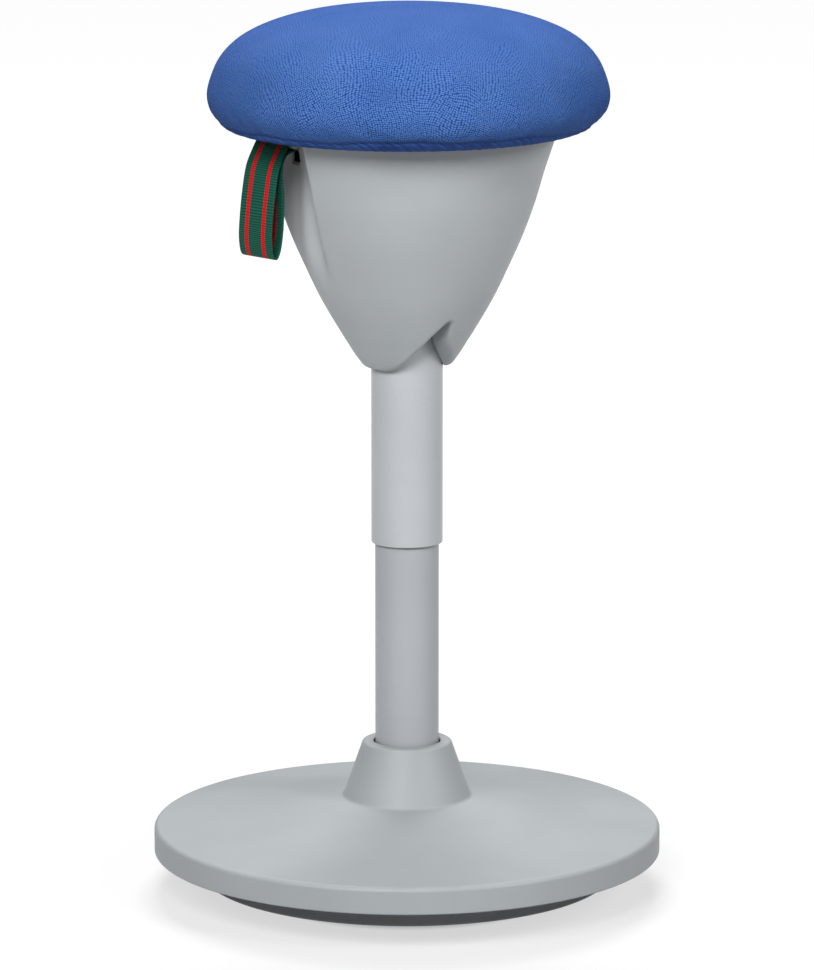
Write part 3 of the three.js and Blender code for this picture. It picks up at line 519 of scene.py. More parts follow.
def shroud_points():
    """Rows out from the bore along the return wall, round the roll, up the outside, in over the flange.

    The roll is a quarter circle that leaves the lower edge at right angles: at a turn t its points lie
    ROLL * (1 - sin t) up the wall from the edge and ROLL * (1 - cos t) inside it.
    """
    foot_radius = shroud_radius(edge_azimuth, edge_height)
    aside, above = edge_normals(foot_radius)
    turn = np.radians(np.linspace(90, 0, ROLL_ROWS))[:, None]
    along, sunk = (1 - np.sin(turn)) * ROLL, (1 - np.cos(turn)) * ROLL
    roll_azimuth = edge_azimuth + np.degrees(along * aside / foot_radius)
    roll_height = edge_height + along * above
    roll_radius = shroud_radius(roll_azimuth, roll_height) - sunk
    steady = edge_azimuth[0] + np.linspace(0, 360, EDGE_COLUMNS, endpoint=False)
    climb = np.linspace(0, 1, CLIMB_ROWS + 1)[1:, None] ** CLIMB_POWER
    settle = smooth_step(climb, 0, 0.7)
    azimuth = roll_azimuth[-1] * (1 - settle) + steady * settle
    height = roll_height[-1] + (SHROUD_TOP - roll_height[-1]) * climb
    radius = shroud_radius(azimuth, height)
    bore = SLEEVE_RADIUS + SLEEVE_GAP
    outward = np.linspace(0, 1, RETURN_ROWS + 1)[:-1, None]
    return_radius = bore + (roll_radius[0] - bore) * outward
    inward = np.linspace(0, 1, FLANGE_ROWS + 1)[1:, None]
    flange_radius = radius[-1] + (FLANGE_INNER - radius[-1]) * inward
    rows = [
        (return_radius, [edge_azimuth] * RETURN_ROWS, [edge_height] * RETURN_ROWS),
        (roll_radius, roll_azimuth, roll_height),
        (radius, azimuth, height),
        (flange_radius, [steady] * FLANGE_ROWS, [height[-1]] * FLANGE_ROWS),
    ]
    radius, azimuth, height = (np.vstack(part) for part in zip(*rows))
    return np.stack([*around_axis(radius, np.radians(azimuth)), height], axis=-1)


def make_shroud():
    """Gives the grid its wall, then opens the two slots that the lever and the hanger come out of."""
    points = shroud_points()
    shell = piece_from("shroud_moulding", points, grid_quads(*points.shape[:2], False, True))
    wall = shell.modifiers.new("wall", "SOLIDIFY")
    wall.thickness, wall.offset = SHROUD_WALL * MM, -1
    room = ARM_THICKNESS / 2 + SLOT_PLAY
    width, low, high = ARM_WIDTH + 2 * SLOT_PLAY, ARM_HEIGHT - room, ARM_HEIGHT + room
    slots = [
        block_along("slot", azimuth, *SLOT_REACH, width, low - dip, high)
        for azimuth, dip in ((LEVER_AZIMUTH, LEVER_DIP), (CARRY_AZIMUTH, 0))
    ]
    return cut_away(shell, *slots)


shroud = make_shroud()
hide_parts("shroud")
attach(shroud, "seat")
print("shroud:", count(shroud), "triangles")

# %% [markdown]
# ## The cushion
# The cushion is a slab of foam on a round board, with a knitted cover pulled down over it and stapled
# underneath. Foam under a tight cover bulges between the places that hold it, so this piece is
# simulated as cloth: a slightly small copy of the form is blown up from inside while its hem is held,
# and no point may travel far. The creases of the turned-in hem are pressed in afterwards, because
# they are finer than the simulated mesh.

# %% The cushion's form
CUSHION_PROFILE = np.array([
    [134.9, 606.4], [139.5, 607.6], [146.2, 610.8], [152.6, 618.6], [156, 634.2], [153.3, 644.6],
    [146.6, 660.2], [132.3, 675.1], [113.9, 684.9], [87.4, 693.6], [46.8, 700.2], [0, 702.5],
])
PROFILE_ROWS = 60
UNDER_ROWS = 19
VOXEL = 5
SHRINK = 2.5
HELD_HEM = 3
PRESSURE = 4
CLOTH_FRAMES = 20
TRAVEL_CAP = 5


def cushion_form(shrink):
    """The closed form: flat underneath, then the profile, drawn in a little towards its middle."""
    side = even_steps(CUSHION_PROFILE, PROFILE_ROWS, smooth_curve)
    inward = [0, BOARD_TOP] - side
    side = side + inward / np.linalg.norm(inward, axis=1)[:, None] * shrink
    radius = np.linspace(0, side[0, 0], UNDER_ROWS + 1)[:-1]
    under = np.stack([radius, np.full(UNDER_ROWS, side[0, 1])], axis=-1)
    return turned("seat_cushion", np.vstack([under, side]), 120)


def remesh_evenly(piece):
    """Rebuilds the surface from squares of one size, which cloth needs to stretch evenly."""
    voxels = piece.modifiers.new("voxels", "REMESH")
    voxels.mode, voxels.voxel_size, voxels.use_smooth_shade = "VOXEL", VOXEL * MM, True
    return apply_all(piece)


def places(piece):
    """The points of a piece as an array, in millimetres."""
    flat = np.empty(len(piece.data.vertices) * 3)
    piece.data.vertices.foreach_get("co", flat)
    return flat.reshape(-1, 3) / MM


def move_to(piece, points_mm):
    """Puts the points of a piece where the array says."""
    piece.data.vertices.foreach_set("co", (points_mm * MM).ravel())
    piece.data.update()


def blow_up(piece):
    """Cloth with air pressure inside, its hem pinned; the travel of each point is then capped."""
    start = places(piece)
    hem = piece.vertex_groups.new(name="hem")
    hem.add(np.flatnonzero(start[:, 2] < BOARD_BOTTOM + HELD_HEM).tolist(), 1.0, "REPLACE")
    cloth = piece.modifiers.new("cover", "CLOTH")
    cloth.settings.use_pressure = True
    cloth.settings.uniform_pressure_force = PRESSURE
    cloth.settings.vertex_group_mass = "hem"
    cloth.settings.effector_weights.gravity = 0
    for step in range(1, CLOTH_FRAMES + 1):
        bpy.context.scene.frame_set(step)
    apply_all(piece)
    bpy.context.scene.frame_set(1)
    travel = places(piece) - start
    length = np.linalg.norm(travel, axis=1, keepdims=True)
    move_to(piece, start + travel * np.minimum(1, TRAVEL_CAP / np.maximum(length, 0.001)))
    return float(length.max())


def fit_to_measure(piece):
    """Brings the blown-up form to its measured radius and top, with its hem kept where it is pinned.

    In the photo the cover sits a little to the right of the column, as one pulled on by hand may.
    """
    points = places(piece)
    rise = smooth_step(points[:, 2], BOARD_BOTTOM, BOARD_TOP + 4)
    for axis in (0, 1):
        low, high = points[:, axis].min(), points[:, axis].max()
        middle, half = (low + high) / 2, (high - low) / 2
        fitted = (points[:, axis] - middle) * CUSHION_RADIUS / half
        points[:, axis] += (fitted - points[:, axis]) * rise
        print("cushion was", round(2 * half, 1), "mm wide and", round(middle, 1), "mm off its middle")
    points[:, 0] += COVER_OFF_CENTRE * rise
    top = CUSHION_PROFILE[-1, 1]
    points[:, 2] += (top - points[:, 2].max()) * smooth_step(points[:, 2], BOARD_TOP, points[:, 2].max())
    move_to(piece, points)


cushion = remesh_evenly(cushion_form(SHRINK))
travel = blow_up(cushion)
print("cushion points wanted to move up to", round(travel, 1), "mm")
fit_to_measure(cushion)
finer = cushion.modifiers.new("finer", "SUBSURF")
finer.levels = finer.render_levels = 2
apply_all(cushion)
print("cushion:", count(cushion), "triangles, top at", round(places(cushion)[:, 2].max(), 1), "mm")

# %% The hem and its creases
HEM_TOP = 614.6
HEM_LEAN = 0.011
HEM_EDGE = 1.5
HEM_FADE = (118, 132)
PLEAT_DEPTH = 0.75
CREASE_DEPTH = 1.3
BOARD_POCKET = [(0, 590), (119.5, 590), (119.5, 608.9), (136.3, 608.9), (136.3, 621.3), (0, 621.3)]


def hem_line(azimuth):
    """Height of the crease: the cover was pulled down by hand, so the line wanders a little."""
    long_waves = 1.1 * np.sin(3 * azimuth + 1) + 0.7 * np.sin(8 * azimuth + 2)
    return HEM_TOP + long_waves + 0.4 * np.sin(21 * azimuth)


def press_hem(piece):
    """Slanting pleats below the crease, and the crease itself: the surface moves in along its radius.

    The pleats are sine waves of the azimuth that lean with the height, with two lengths mixed.
    The share of hem at each point, from 0 to 1, is kept with the mesh for the fabric to read.
    """
    points = places(piece)
    azimuth = np.arctan2(points[:, 0], -points[:, 1])
    radius = np.hypot(points[:, 0], points[:, 1])
    below = hem_line(azimuth) - points[:, 2]
    low = smooth_step(below, -HEM_EDGE, HEM_EDGE)
    outer = smooth_step(radius, *HEM_FADE)
    swept = azimuth - HEM_LEAN * below
    pleats = np.sin(131 * swept + 2 * np.sin(5 * azimuth))
    pleats = pleats + 0.7 * np.sin(83 * swept + 3 * np.sin(7 * azimuth + 1))
    crease = np.exp(-((below / HEM_EDGE) ** 2)) * (0.7 + 0.3 * np.sin(9 * azimuth + 2))
    inward = outer * (PLEAT_DEPTH * low * (1 - pleats) + CREASE_DEPTH * crease)
    share = (radius - inward) / np.maximum(radius, 1)
    points[:, :2] *= share[:, None]
    move_to(piece, points)
    mark = piece.data.attributes.new("hem_share", "FLOAT", "POINT")
    mark.data.foreach_set("value", low.astype(np.float32))


def lay_out_fabric(piece):
    """Keeps, for each point, its place on the flat knit in metres: direction and distance from the crown.

    The distance is measured along the profile, which is followed by the angle seen from inside the form.
    """
    profile = even_steps(CUSHION_PROFILE, PROFILE_ROWS, smooth_curve)[::-1]
    run = run_along(profile)
    middle = BOARD_TOP + 5
    points = places(piece)
    lean = np.arctan2(np.hypot(points[:, 0], points[:, 1]), points[:, 2] - middle)
    away = np.interp(lean, np.arctan2(profile[:, 0], profile[:, 1] - middle), run)
    azimuth = np.arctan2(points[:, 0], -points[:, 1])
    flat = np.stack([*around_axis(away, azimuth), np.zeros_like(away)], axis=-1)
    knit = piece.data.attributes.new("knit_place", "FLOAT_VECTOR", "POINT")
    knit.data.foreach_set("vector", (flat * MM).astype(np.float32).ravel())
    return float(run[-1])


press_hem(cushion)
print("the cover reaches", round(lay_out_fabric(cushion)), "mm from its crown")
cut_away(cushion, turned("pocket", BOARD_POCKET))
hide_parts("seat_cover", "seat_foam")
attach(cushion, "seat")
print("cushion with its pocket:", count(cushion), "triangles")

# %% [markdown]
# ## The webbing loops
# A loop of ribbed webbing hangs from a bar on each side: one pulls the lever of the gas lift, the
# other is there to carry the stool. Webbing is woven flat and keeps its width, so a loop is one
# section, a flat strip with round selvedges, carried along a closed line that hangs from the bar.
# The arm of the bar comes through a slit in the strip.

# %% Webbing loops
WEBBING_WIDTH = 38
WEBBING_THICKNESS = 1.6
LOOP_WRAP = 4.4
LOOP_TURN = 29
LOOP_OUT = 22.9
LOOP_DROP = 86.6
LOOP_STEPS = 260
FACE_POINTS = 17
SLIT_HEIGHT = 8
SLIT_REACH = (-9.5, 0.5)
LOOP_SHARES = np.array([
    [-0.14, -0.037], [0.026, -0.054], [0.2, -0.065], [0.367, -0.09], [0.498, -0.15], [0.541, -0.247],
    [0.493, -0.471], [0.507, -0.684], [0.572, -0.836], [0.67, -0.945], [0.8, -1], [0.945, -0.977],
    [1.03, -0.87], [1.02, -0.727], [0.89, -0.447], [0.7, -0.213], [0.46, -0.088],
])


def loop_line():
    """Over the bar in an arc, then down and back: smooth curves of the distance run, closed."""
    bend = np.radians(np.linspace(45, 180, 4))[:, None]
    over = LOOP_WRAP * np.hstack([np.cos(bend), np.sin(bend)])
    hanging = LOOP_SHARES * [LOOP_OUT, LOOP_DROP]
    knots = np.vstack([over, hanging])
    around = np.vstack([knots[-3:], knots, knots[:4]])
    run = run_along(around, 0.5)
    at = np.linspace(run[3], run[3 + len(knots)], LOOP_STEPS, endpoint=False)
    return np.stack([smooth_curve(at, run, around[:, axis]) for axis in (0, 1)], axis=-1)


def webbing_section():
    """Across the strip and back: flat faces joined by half circles, as (across, out of the face)."""
    half, edge = WEBBING_WIDTH / 2 - WEBBING_THICKNESS / 2, WEBBING_THICKNESS / 2
    flat = np.linspace(-half, half, FACE_POINTS)
    bend = np.radians(np.linspace(90, -90, 7)[1:-1])
    right = np.stack([half + edge * np.cos(bend), edge * np.sin(bend)], axis=-1)
    front = np.stack([flat, np.full(FACE_POINTS, edge)], axis=-1)
    return np.vstack([front, right, -front, -right])


def webbing_loop(name, azimuth):
    """Carries the section along the line; the strip's own map runs across it and along it in metres."""
    line, section = loop_line(), webbing_section()
    run = np.roll(line, -1, axis=0) - np.roll(line, 1, axis=0)
    normal = np.stack([run[:, 1], -run[:, 0]], axis=-1) / np.linalg.norm(run, axis=1)[:, None]
    spine = line[:, None, :] + normal[:, None, :] * section[None, :, 1:2]
    across = np.broadcast_to(section[None, :, 0], spine.shape[:2])
    out, side = rotated(spine[..., 0], across, LOOP_TURN)
    x, y = rotated(LOOP_BAR_CIRCLE + out, side, azimuth - 90)
    points = np.stack([x, y, LOOP_BAR_HEIGHT + spine[..., 1]], axis=-1)
    quads = grid_quads(LOOP_STEPS, len(section), True, True)[:, ::-1]
    loop = piece_from(name, points, quads)
    length = float(np.linalg.norm(np.roll(line, -1, axis=0) - line, axis=1).sum())
    row, column = quads // len(section), quads % len(section)
    last = row.max(axis=1, keepdims=True) == LOOP_STEPS - 1
    row = np.where((row == 0) & last, LOOP_STEPS, row)
    strip = loop.data.uv_layers.new(name="strip")
    place = np.stack([section[column, 0] / WEBBING_WIDTH + 0.5, row / LOOP_STEPS * length * MM], axis=-1)
    strip.data.foreach_set("uv", place.ravel())
    start, end = (LOOP_BAR_CIRCLE + reach for reach in SLIT_REACH)
    low, high = LOOP_BAR_HEIGHT - SLIT_HEIGHT, LOOP_BAR_HEIGHT
    return cut_away(loop, block_along("slit", azimuth, start, end, ARM_WIDTH + 1, low, high)), length


pull_loop, loop_length = webbing_loop("pull_loop_webbing", LEVER_AZIMUTH)
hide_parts("pull_loop")
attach(pull_loop, "lever")

carry_loop, loop_length = webbing_loop("carry_loop_webbing", CARRY_AZIMUTH)
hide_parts("carry_loop")
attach(carry_loop, "seat")
print("webbing loops:", round(loop_length), "mm of webbing each,", count(pull_loop), "triangles")

# %% [markdown]
# ## Materials and shared effects
# The stool is moulded plastic, painted tube, knitted fabric, woven webbing, rubber, iron, steel and
# plywood. Effects that several finishes need are node groups: the fine spark-eroded grain of a mould,
# the cloudy unevenness of any large surface, and the wear of an edge. A group gives out only colours,
# masks and heights, and the shader itself stays in each material.

# %% Node helpers


def feed(tree, node, inputs):
    """Links each named input of a node to a socket, or sets it to a plain value."""
    for key, value in inputs.items():
        if isinstance(value, bpy.types.NodeSocket):
            tree.links.new(value, node.inputs[key])
        else:
            node.inputs[key].default_value = value


def add_node(tree, kind, inputs, **options):
    """Adds a node, sets its options and feeds its inputs."""
    node = tree.nodes.new(kind)
    for option, value in options.items():
        setattr(node, option, value)
    feed(tree, node, inputs)
    return node


def new_group(name, length_name, length, *outputs):
    """A node group that takes one length in metres and gives values: the tree, that length, its end."""
    group = bpy.data.node_groups.new(name, "ShaderNodeTree")
    socket = group.interface.new_socket(length_name, in_out="INPUT", socket_type="NodeSocketFloat")
    socket.default_value = length
    for label in outputs:
        group.interface.new_socket(label, in_out="OUTPUT", socket_type="NodeSocketFloat")
    return group, group.nodes.new("NodeGroupInput").outputs[length_name], group.nodes.new("NodeGroupOutput")


def new_material(name):
    """A material, its node tree and its main shader."""
    material = bpy.data.materials.new(name)
    material.use_nodes = True
    return material, material.node_tree, material.node_tree.nodes["Principled BSDF"]


def object_place(tree):
    """Where the seen point lies on its piece, in metres."""
    return tree.nodes.new("ShaderNodeTexCoord").outputs["Object"]


def noise(tree, place, scale, detail):
    """The outputs of soft noise at a place: one value and one colour."""
    return add_node(tree, "ShaderNodeTexNoise", {"Vector": place, "Scale": scale, "Detail": detail}).outputs


def bumps(tree, height, depth, strength=1.0):
    """The direction of a surface whose relief is that many metres deep."""
    inputs = {"Height": height, "Distance": depth, "Strength": strength}
    return add_node(tree, "ShaderNodeBump", inputs).outputs["Normal"]


def math_node(tree, operation, first, second=0.0, third=0.0):
    """One arithmetic step between two or three values."""
    return add_node(tree, "ShaderNodeMath", {0: first, 1: second, 2: third}, operation=operation).outputs[0]


def vector_node(tree, operation, first, second):
    """One arithmetic step between two places or directions."""
    return add_node(tree, "ShaderNodeVectorMath", {0: first, 1: second}, operation=operation).outputs[0]


def blend_colours(tree, share, first, second):
    """Mixes two colours by a share from 0 to 1."""
    return add_node(tree, "ShaderNodeMix", {0: share, 6: first, 7: second}, data_type="RGBA").outputs[2]


def spread(tree, value, low, high, out_low=0.0, out_high=1.0):
    """Stretches a range of values onto another and stops at its ends."""
    inputs = {"Value": value, "From Min": low, "From Max": high, "To Min": out_low, "To Max": out_high}
    return add_node(tree, "ShaderNodeMapRange", inputs).outputs["Result"]


def colour(red, green, blue):
    """A colour as a camera gives it, 0 to 255, in the linear light that shaders work in."""
    share = np.array([red, green, blue]) / 255
    linear = np.where(share <= 0.04045, share / 12.92, ((share + 0.055) / 1.055) ** 2.4)
    return (*linear.tolist(), 1.0)


print("node helpers ready")

# %% Mould grain, cloudiness and edge wear


def make_mould_grain():
    """Tiny pits and bumps: cell noise and soft noise together, as one height and one mask."""
    group, size, end = new_group("mould_grain", "Size", 0.0008, "Height", "Pits")
    place = object_place(group)
    scale = math_node(group, "DIVIDE", 1.0, size)
    soft = noise(group, place, scale, 3.0)["Fac"]
    cells = add_node(group, "ShaderNodeTexVoronoi", {"Vector": place, "Scale": scale}, feature="SMOOTH_F1")
    pits = spread(group, cells.outputs["Distance"], 0.2, 0.75)
    feed(group, end, {"Height": math_node(group, "MULTIPLY_ADD", soft, 0.6, pits), "Pits": pits})
    return group


def make_cloudiness():
    """Slow changes of tone over a hand's width, from 0 to 1, with 0.5 as the middle."""
    group, width, end = new_group("cloudiness", "Width", 0.08, "Tone")
    clouds = noise(group, object_place(group), math_node(group, "DIVIDE", 1.0, width), 4.0)["Fac"]
    feed(group, end, {"Tone": spread(group, clouds, 0.3, 0.7)})
    return group


def make_edge_wear():
    """Marks the ridges of the mesh, broken up by noise, where hands and shoes rub the finish."""
    group, reach, end = new_group("edge_wear", "Reach", 0.05, "Worn")
    ridge = group.nodes.new("ShaderNodeNewGeometry").outputs["Pointiness"]
    breaks = noise(group, object_place(group), 220.0, 5.0)["Fac"]
    worn = spread(group, ridge, 0.5, math_node(group, "ADD", 0.5, reach))
    feed(group, end, {"Worn": math_node(group, "MULTIPLY", worn, breaks)})
    return group


MOULD_GRAIN = make_mould_grain()
CLOUDINESS = make_cloudiness()
EDGE_WEAR = make_edge_wear()
print("effects:", [group.name for group in bpy.data.node_groups])

# %% [markdown]
# ## Plain finishes
# Plastic, paint, rubber and metal differ in colour, gloss and the size of their grain, but they are
# built the same way: a base colour that drifts a little, gloss that follows the grain, and a bump
# that is finer than the eye follows. One function makes them all, and each finish brings its values.

# %% Plain finishes


def effect(tree, group, **values):
    """The outputs of a shared effect, placed in a material with its own values."""
    return add_node(tree, "ShaderNodeGroup", values, node_tree=group).outputs


def plain_finish(name, tone, gloss, grain, bump, metal=0.0, wear=0.3, worn_tone=None, drift=0.05):
    """A finish from its tone, roughness, grain size in metres, bump depth in metres and wear."""
    material, tree, shader = new_material(name)
    fine = effect(tree, MOULD_GRAIN, Size=grain)
    clouds = effect(tree, CLOUDINESS, Width=0.09)["Tone"]
    rubbed = effect(tree, EDGE_WEAR, Reach=0.06)["Worn"]
    dark = tuple(channel * (1 - drift) for channel in tone[:3]) + (1.0,)
    light = tuple(min(channel * (1 + drift), 1) for channel in tone[:3]) + (1.0,)
    drifted = blend_colours(tree, clouds, dark, light)
    worn = math_node(tree, "MULTIPLY", rubbed, wear)
    feed(tree, shader, {
        "Base Color": blend_colours(tree, worn, drifted, worn_tone or light),
        "Roughness": spread(tree, fine["Pits"], 0.0, 1.0, gloss - 0.05, gloss + 0.06),
        "Normal": bumps(tree, fine["Height"], bump),
        "Metallic": metal,
    })
    return material


# The shroud and the base cover are the same grey plastic; the shroud's lighter tone is painted light on its
# upright faces.
shroud_grey_painted_light = plain_finish("shroud_grey_painted_light", colour(176, 181, 184), 0.48, 0.0007, 0.00003)
base_grey = plain_finish("base_grey", colour(165, 170, 173), 0.5, 0.0007, 0.00003)
tube_grey = plain_finish("tube_grey", colour(170, 174, 178), 0.4, 0.0005, 0.00001)
sleeve_grey = plain_finish("sleeve_grey", colour(182, 186, 190), 0.3, 0.0005, 0.00001)
pad_rubber = plain_finish("pad_rubber", colour(160, 163, 167), 0.8, 0.0012, 0.00008, wear=0.5)
moulding_black = plain_finish("moulding_black", colour(34, 36, 39), 0.5, 0.0006, 0.00003)
iron = plain_finish("ballast_iron", colour(60, 62, 64), 0.62, 0.002, 0.00025, metal=0.6, drift=0.15)
zinc = plain_finish("zinc_steel", colour(185, 188, 192), 0.3, 0.0009, 0.00001, metal=1.0)
steel_black = plain_finish("black_steel", colour(42, 44, 46), 0.45, 0.0006, 0.00002, metal=0.4,
                           worn_tone=colour(120, 122, 125))
print("plain finishes:", [material.name for material in bpy.data.materials])

# %% [markdown]
# ## Plywood
# The seat board is birch plywood. Its edge shows the layers as thin stripes, light and dark in turn,
# and its faces show long grain. The stripes follow the height, the grain runs along one direction.

# %% Plywood
def make_plywood():
    """Layers by a wave along the height, and grain by noise stretched along the board."""
    material, tree, shader = new_material("birch_plywood")
    place = object_place(tree)
    long_grain = vector_node(tree, "MULTIPLY", place, (12.0, 260.0, 260.0))
    grain = noise(tree, long_grain, 1.0, 6.0)["Fac"]
    layers = add_node(tree, "ShaderNodeTexWave", {"Vector": place, "Scale": 105.0, "Distortion": 0.4},
                      wave_type="BANDS", bands_direction="Z")
    birch = blend_colours(tree, grain, colour(186, 148, 104), colour(222, 190, 146))
    glue = math_node(tree, "MULTIPLY", layers.outputs["Fac"], 0.35)
    feed(tree, shader, {
        "Base Color": blend_colours(tree, glue, birch, colour(120, 84, 52)),
        "Roughness": 0.7,
        "Normal": bumps(tree, grain, 0.0002),
    })
    return material


plywood = make_plywood()
print("plywood ready")

# %% [markdown]
# ## The knitted cover
# Seen close, the cover is a crepe: short raised cords, a millimetre and a half apart, that wander
# like the lines of a fingertip. A regular weave would look ruled, so the cords are small cells in
# loose rows on the flat knit, and a slow noise bends the rows. The colour is lighter on the cords,
# with painted shade in the gaps between them. Where the cover turns away from the eye, the cords
# hide the gaps and their contrast fades into a darker blue, partly painted shade, and nearer the
# edge the blue is painted darker still, as shade. Below the crease the fabric is stretched flat and
# plain, and it is painted darker as shade under the cushion's bulge, darkest in the crease.

# %% Crepe fabric
CORD_PITCH = 0.0015
CORD_STRETCH = 0.72
CORD_WANDER = 0.026
# Painted light and shade on the cords: the gap blue is painted shade between them, the crest blue the
# lighter cords.
GAP_SHADE_BLUE = colour(16, 50, 124)
CREST_BLUE = colour(86, 134, 204)
# Where the cover turns from the eye its cords fade into a darker blue, partly hidden gaps and partly
# painted shade; near the edge it is painted darker still, as shade.
SLANT_FADE_AND_SHADE_BLUE = colour(44, 84, 152)
TURNED_AWAY_SHADE_BLUE = colour(36, 80, 164)
# Painted shade: the plain hem under the cushion's bulge takes these darker blues.
HEM_SHADE_BLUES = colour(34, 64, 128), colour(46, 82, 152)
# Painted shade in the crease of the hem.
CREASE_SHADE_BLUE = colour(20, 40, 88)
FADED_BLUE = colour(140, 170, 225)
SHEEN_BLUE = colour(150, 180, 235)


def make_crepe():
    """Height of the cords: small cells in loose rows on the flat knit, drawn out a little, and bent."""
    group, pitch, end = new_group("crepe", "Pitch", CORD_PITCH, "Height")
    place = add_node(group, "ShaderNodeAttribute", {}, attribute_name="knit_place").outputs["Vector"]
    centred = vector_node(group, "SUBTRACT", noise(group, place, 20.0, 1.0)["Color"], (0.5, 0.5, 0.5))
    pushed = vector_node(group, "ADD", place, vector_node(group, "MULTIPLY", centred, (CORD_WANDER,) * 3))
    drawn = vector_node(group, "MULTIPLY", pushed, (CORD_STRETCH, 1.0, 0.0))
    scale = math_node(group, "DIVIDE", 1.0, pitch)
    cells = add_node(group, "ShaderNodeTexVoronoi", {"Vector": drawn, "Scale": scale, "Randomness": 0.35},
                     feature="F1", voronoi_dimensions="2D")
    feed(group, end, {"Height": spread(group, cells.outputs["Distance"], 0.12, 0.6, 1.0, 0.0)})
    return group


def make_cover_fabric():
    """Blue crepe: lighter on the cords with painted shade in the gaps between them, plain along the hem,
    and painted darker as shade on the hem and in its crease.

    Cords seen at a slant hide the gaps between them, so their contrast fades as the surface turns away,
    into a darker blue that is partly painted shade; nearer the edge it is painted darker still, as shade.
    """
    material, tree, shader = new_material("blue_crepe")
    height = effect(tree, make_crepe(), Pitch=CORD_PITCH)["Height"]
    hem_share = add_node(tree, "ShaderNodeAttribute", {}, attribute_name="hem_share").outputs["Fac"]
    free = math_node(tree, "SUBTRACT", 1.0, hem_share)
    cords = math_node(tree, "MULTIPLY", height, math_node(tree, "MULTIPLY_ADD", free, 0.8, 0.2))
    # A band along the crease, where the colour is painted darker as shade.
    crease = math_node(tree, "MULTIPLY", math_node(tree, "MULTIPLY", hem_share, free), 2.0)
    clouds = effect(tree, CLOUDINESS, Width=0.05)["Tone"]
    facing = add_node(tree, "ShaderNodeLayerWeight", {"Blend": 0.5}).outputs["Facing"]
    # Painted shade: the colour darkens from the cords down into the gaps between them.
    cord_light_and_shade = blend_colours(tree, height, GAP_SHADE_BLUE, CREST_BLUE)
    # At a slant the cords fade into a darker blue: the gaps hide, and the darker tone is painted shade.
    level = blend_colours(tree, spread(tree, facing, 0.12, 0.6, 0.0, 0.7), cord_light_and_shade, SLANT_FADE_AND_SHADE_BLUE)
    # Below the crease the plain hem takes darker blues, painted shade under the bulge.
    cover = blend_colours(tree, hem_share, level, blend_colours(tree, clouds, *HEM_SHADE_BLUES))
    crease_shaded = blend_colours(tree, crease, cover, CREASE_SHADE_BLUE)
    faded = blend_colours(tree, math_node(tree, "MULTIPLY", clouds, 0.06), crease_shaded, FADED_BLUE)
    feed(tree, shader, {
        # Painted shade: the colour darkens where the cover turns furthest from the eye.
        "Base Color": blend_colours(tree, spread(tree, facing, 0.55, 1.0, 0.0, 0.35), faded, TURNED_AWAY_SHADE_BLUE),
        "Roughness": spread(tree, height, 0.0, 1.0, 0.95, 0.82),
        "Normal": bumps(tree, cords, 0.0004, 0.9),
        "Sheen Weight": 0.03,
        "Sheen Roughness": 0.4,
        "Sheen Tint": SHEEN_BLUE,
        "Specular IOR Level": 0.2,
    })
    return material


blue_crepe = make_cover_fabric()
print("crepe cords every", CORD_PITCH / MM, "mm")

# %% [markdown]
# ## The ribbed webbing
# The webbing is a grosgrain: thick weft threads lie across the strip and make ribs, and the colours
# are in the warp, so they run along it. Here the ground is dark green with two narrow red stripes.
# The pattern reads the strip's own map, so it follows the loop round every bend.

# %% Webbing
RIB_PITCH = 0.00145


def make_grosgrain():
    """Ribs: a wave along the strip; stripes: two bands at equal distances from its middle."""
    group, pitch, end = new_group("grosgrain", "Pitch", RIB_PITCH, "Height", "Stripe")
    strip = add_node(group, "ShaderNodeUVMap", {}, uv_map="strip").outputs[0]
    parts = add_node(group, "ShaderNodeSeparateXYZ", {"Vector": strip}).outputs
    waver = noise(group, object_place(group), 300.0, 2.0)["Fac"]
    phase = math_node(group, "MULTIPLY_ADD", waver, 0.35, math_node(group, "DIVIDE", parts["Y"], pitch))
    wave = math_node(group, "SINE", math_node(group, "MULTIPLY", phase, math.pi))
    from_middle = math_node(group, "ABSOLUTE", math_node(group, "SUBTRACT", parts["X"], 0.5))
    from_stripe = math_node(group, "ABSOLUTE", math_node(group, "SUBTRACT", from_middle, 0.25))
    feed(group, end, {
        "Height": math_node(group, "ABSOLUTE", wave),
        "Stripe": spread(group, from_stripe, 0.05, 0.06, 1.0, 0.0),
    })
    return group


def make_webbing():
    """Green ground and red stripes, lighter on the ribs with painted shade between them, with a faint sheen
    of polyester.
    """
    material, tree, shader = new_material("striped_webbing")
    cloth = effect(tree, make_grosgrain(), Pitch=RIB_PITCH)
    rib = cloth["Height"]
    # Painted shade: both colours darken from the ribs down into the gaps between them.
    green = blend_colours(tree, rib, colour(8, 50, 40), colour(24, 98, 80))
    red = blend_colours(tree, rib, colour(176, 14, 22), colour(226, 24, 34))
    feed(tree, shader, {
        "Base Color": blend_colours(tree, cloth["Stripe"], green, red),
        "Roughness": spread(tree, rib, 0.0, 1.0, 0.85, 0.6),
        "Normal": bumps(tree, rib, 0.0003, 0.8),
        "Specular IOR Level": 0.15,
        "Sheen Weight": 0.02,
    })
    return material


webbing = make_webbing()
print("webbing ribs every", RIB_PITCH / MM, "mm")

# %% [markdown]
# ## Giving every piece its finish
# The pieces made above take their finish directly. The other pieces come from the frame as they are.
# Their meshes are left alone, and only their material slot changes.

# %% Finishes on the pieces


def dress(piece, material):
    """Puts one material on a piece in place of what it had."""
    piece.data.materials.clear()
    piece.data.materials.append(material)


